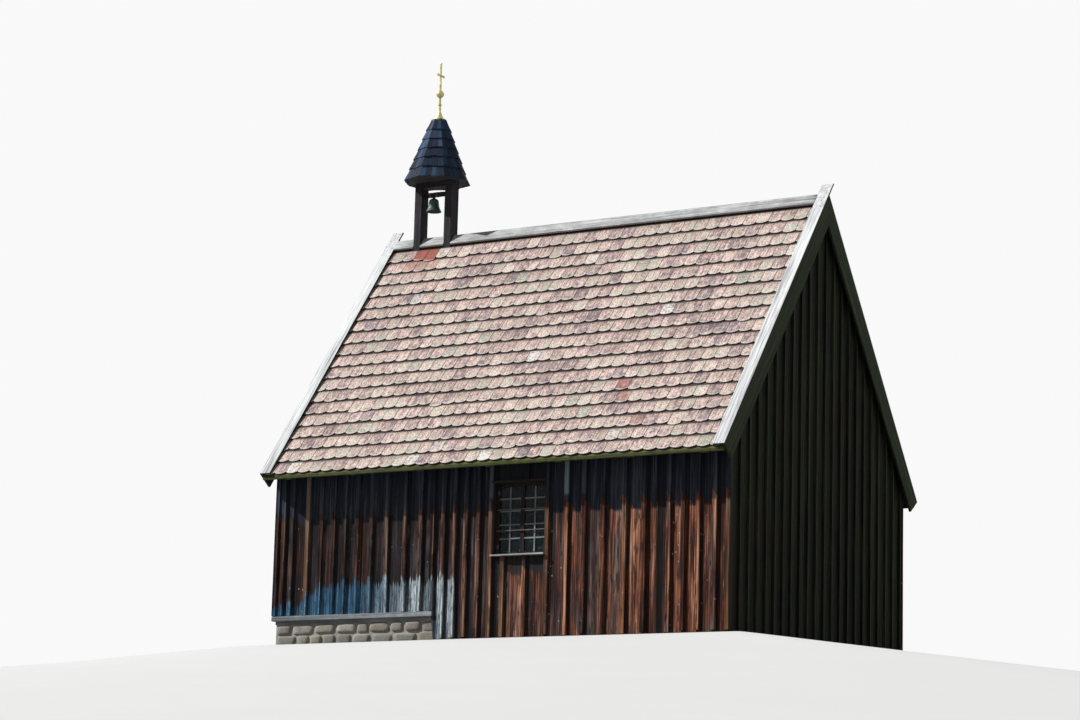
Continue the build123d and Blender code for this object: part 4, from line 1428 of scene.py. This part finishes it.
# Plinth
def add_stone(solids, wall, left, right, low, high, proud):
    """A rough field stone whose face bulges out of the mortar."""
    phase = solids.random.uniform(0, 90)
    rings = []
    layers = ((-0.03, 0.82), (0.0, 0.97), (proud * 0.6, 0.90), (proud * 0.92, 0.66), (proud, 0.3))
    for depth, spread in layers:
        ring = []
        for angle in turns(20):
            u = abs(cos(angle)) ** STONE_CORNERS * (1 if cos(angle) > 0 else -1)
            v = abs(sin(angle)) ** STONE_CORNERS * (1 if sin(angle) > 0 else -1)
            wobble = 1 + 0.13 * noise.noise(Vector((phase, cos(angle) * 1.3, sin(angle) * 1.3)))
            across = (left + right) / 2 + (right - left) / 2 * u * spread * wobble * 0.96
            height = (low + high) / 2 + (high - low) / 2 * v * spread * wobble * 0.96
            rough = 0.002 * noise.noise(Vector((across * 30, height * 30, phase)))
            ring.append(wall.at(across, depth + rough, max(height, 0.002)))
        rings.append(ring)
    solids.lay(rings)


def make_plinth():
    """Two rows of stones on each side. They stand out only at the uphill end, beyond the boards."""
    low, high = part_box("plinth")
    length, width = high.x - low.x, high.y - low.y
    solids = Solids(111)
    faces = (
        (Wall((low.x, low.y, 0), (1, 0, 0), (0, -1, 0)), length, lambda a: low.x + a < OPEN_PLINTH_X),
        (Wall((high.x, high.y, 0), (-1, 0, 0), (0, 1, 0)), length, lambda a: high.x - a < OPEN_PLINTH_X),
        (Wall((low.x, high.y, 0), (0, -1, 0), (-1, 0, 0)), width, lambda a: True),
        (Wall((high.x, low.y, 0), (0, 1, 0), (1, 0, 0)), width, lambda a: False),
    )
    joint = 0.004
    for wall, run, shows in faces:
        for row in range(2):
            at = joint
            while at < run - 0.02:
                size = min(solids.random.uniform(0.15, 0.36), run - joint - at)
                split = high.z * 0.5 + 0.022 * noise.noise(Vector((at * 3, row, 7)))
                z0, z1 = (split + joint, high.z - joint) if row else (0.0, split - joint)
                proud = solids.random.uniform(0.014, 0.026) if shows(at) and shows(at + size) else 0.008
                add_stone(solids, wall, at, at + size - 0.006, z0, z1, proud)
                at += size + joint
    solids.build("plinth_stones", "plinth_stone", "rubble_stone", smooth=60)


# Timbers whose modelled shape stays
def dress_timbers():
    for side in ("front", "back"):
        dress(f"{side}_ridge_board", f"{side}_ridge_timber", "grey_timber", "grey_timber", "x", 0.004)
        window = ("window_timber", "window_timber", "z")
        dress(f"{side}_window_frame", f"{side}_window_lining", *window, 0.002, 0.0)
        dress(f"{side}_window_casements", f"{side}_casement_timber", *window, 0.0015, 0.0)
        for end in ("left", "right"):
            name = f"{side}_{end}_verge"
            dress(f"{name}_board", f"{name}_timber", "grey_timber", "verge_timber", "slope", 0.003, 0.001)
    dress("window_sills", "sill_timbers", "grey_timber", "grey_timber", "x", 0.003)
    dress("ground_sill", "ledge_timber", "grey_timber", "pale_bars", "x", 0.004, 0.001)
    dress("door_frame", "door_lining", "door_timber", "door_timber", "z", 0.003, 0.0)
    dress("turret_head", "turret_beam", "turret_timber", "turret_timber", "x", 0.003, 0.001)
    for end in ("left", "right"):
        name = f"turret_timber_{end}"
        dress(f"turret_post_{end}", name, "turret_timber", "turret_timber", "z", 0.004, 0.0012, 0.2)


def finish_plain_nodes():
    """Materials for the modelled nodes that stay as they are, most of them hidden."""
    finishes = {
        "inner_timber_x": (
            "floor", "wall_plates", "ridge_purlin", "front_roof_boarding", "back_roof_boarding",
        ),
        "inner_timber_z": ("left_gable_wall", "right_gable_wall"),
        "inner_timber_slope": ("front_rafters", "back_rafters"),
        "reveal_timber": ("front_wall", "back_wall"),
        "lime_mortar": ("plinth",),
        "old_glass": ("window_glass",),
        "bell_iron": ("bell_clapper",),
        "rod_iron": ("bell_lever", "bell_pull_rod"),
    }
    for look, nodes in finishes.items():
        for node in nodes:
            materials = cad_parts[node].data.materials
            materials.clear()
            materials.append(looks[look])


make_camera()
make_lights()
make_floor()
make_looks()
finish_plain_nodes()
dress_timbers()
make_long_walls()
make_gables()
make_tiles(-1, "front", 41)
make_tiles(1, "back", 42)
make_eaves_boards()
make_spire()
make_finial()
make_cross()
make_bell()
make_yoke()
make_window(-1, "front")
make_window(1, "back")
make_door()
make_plinth()

bpy.context.scene.view_settings.view_transform = "Standard"
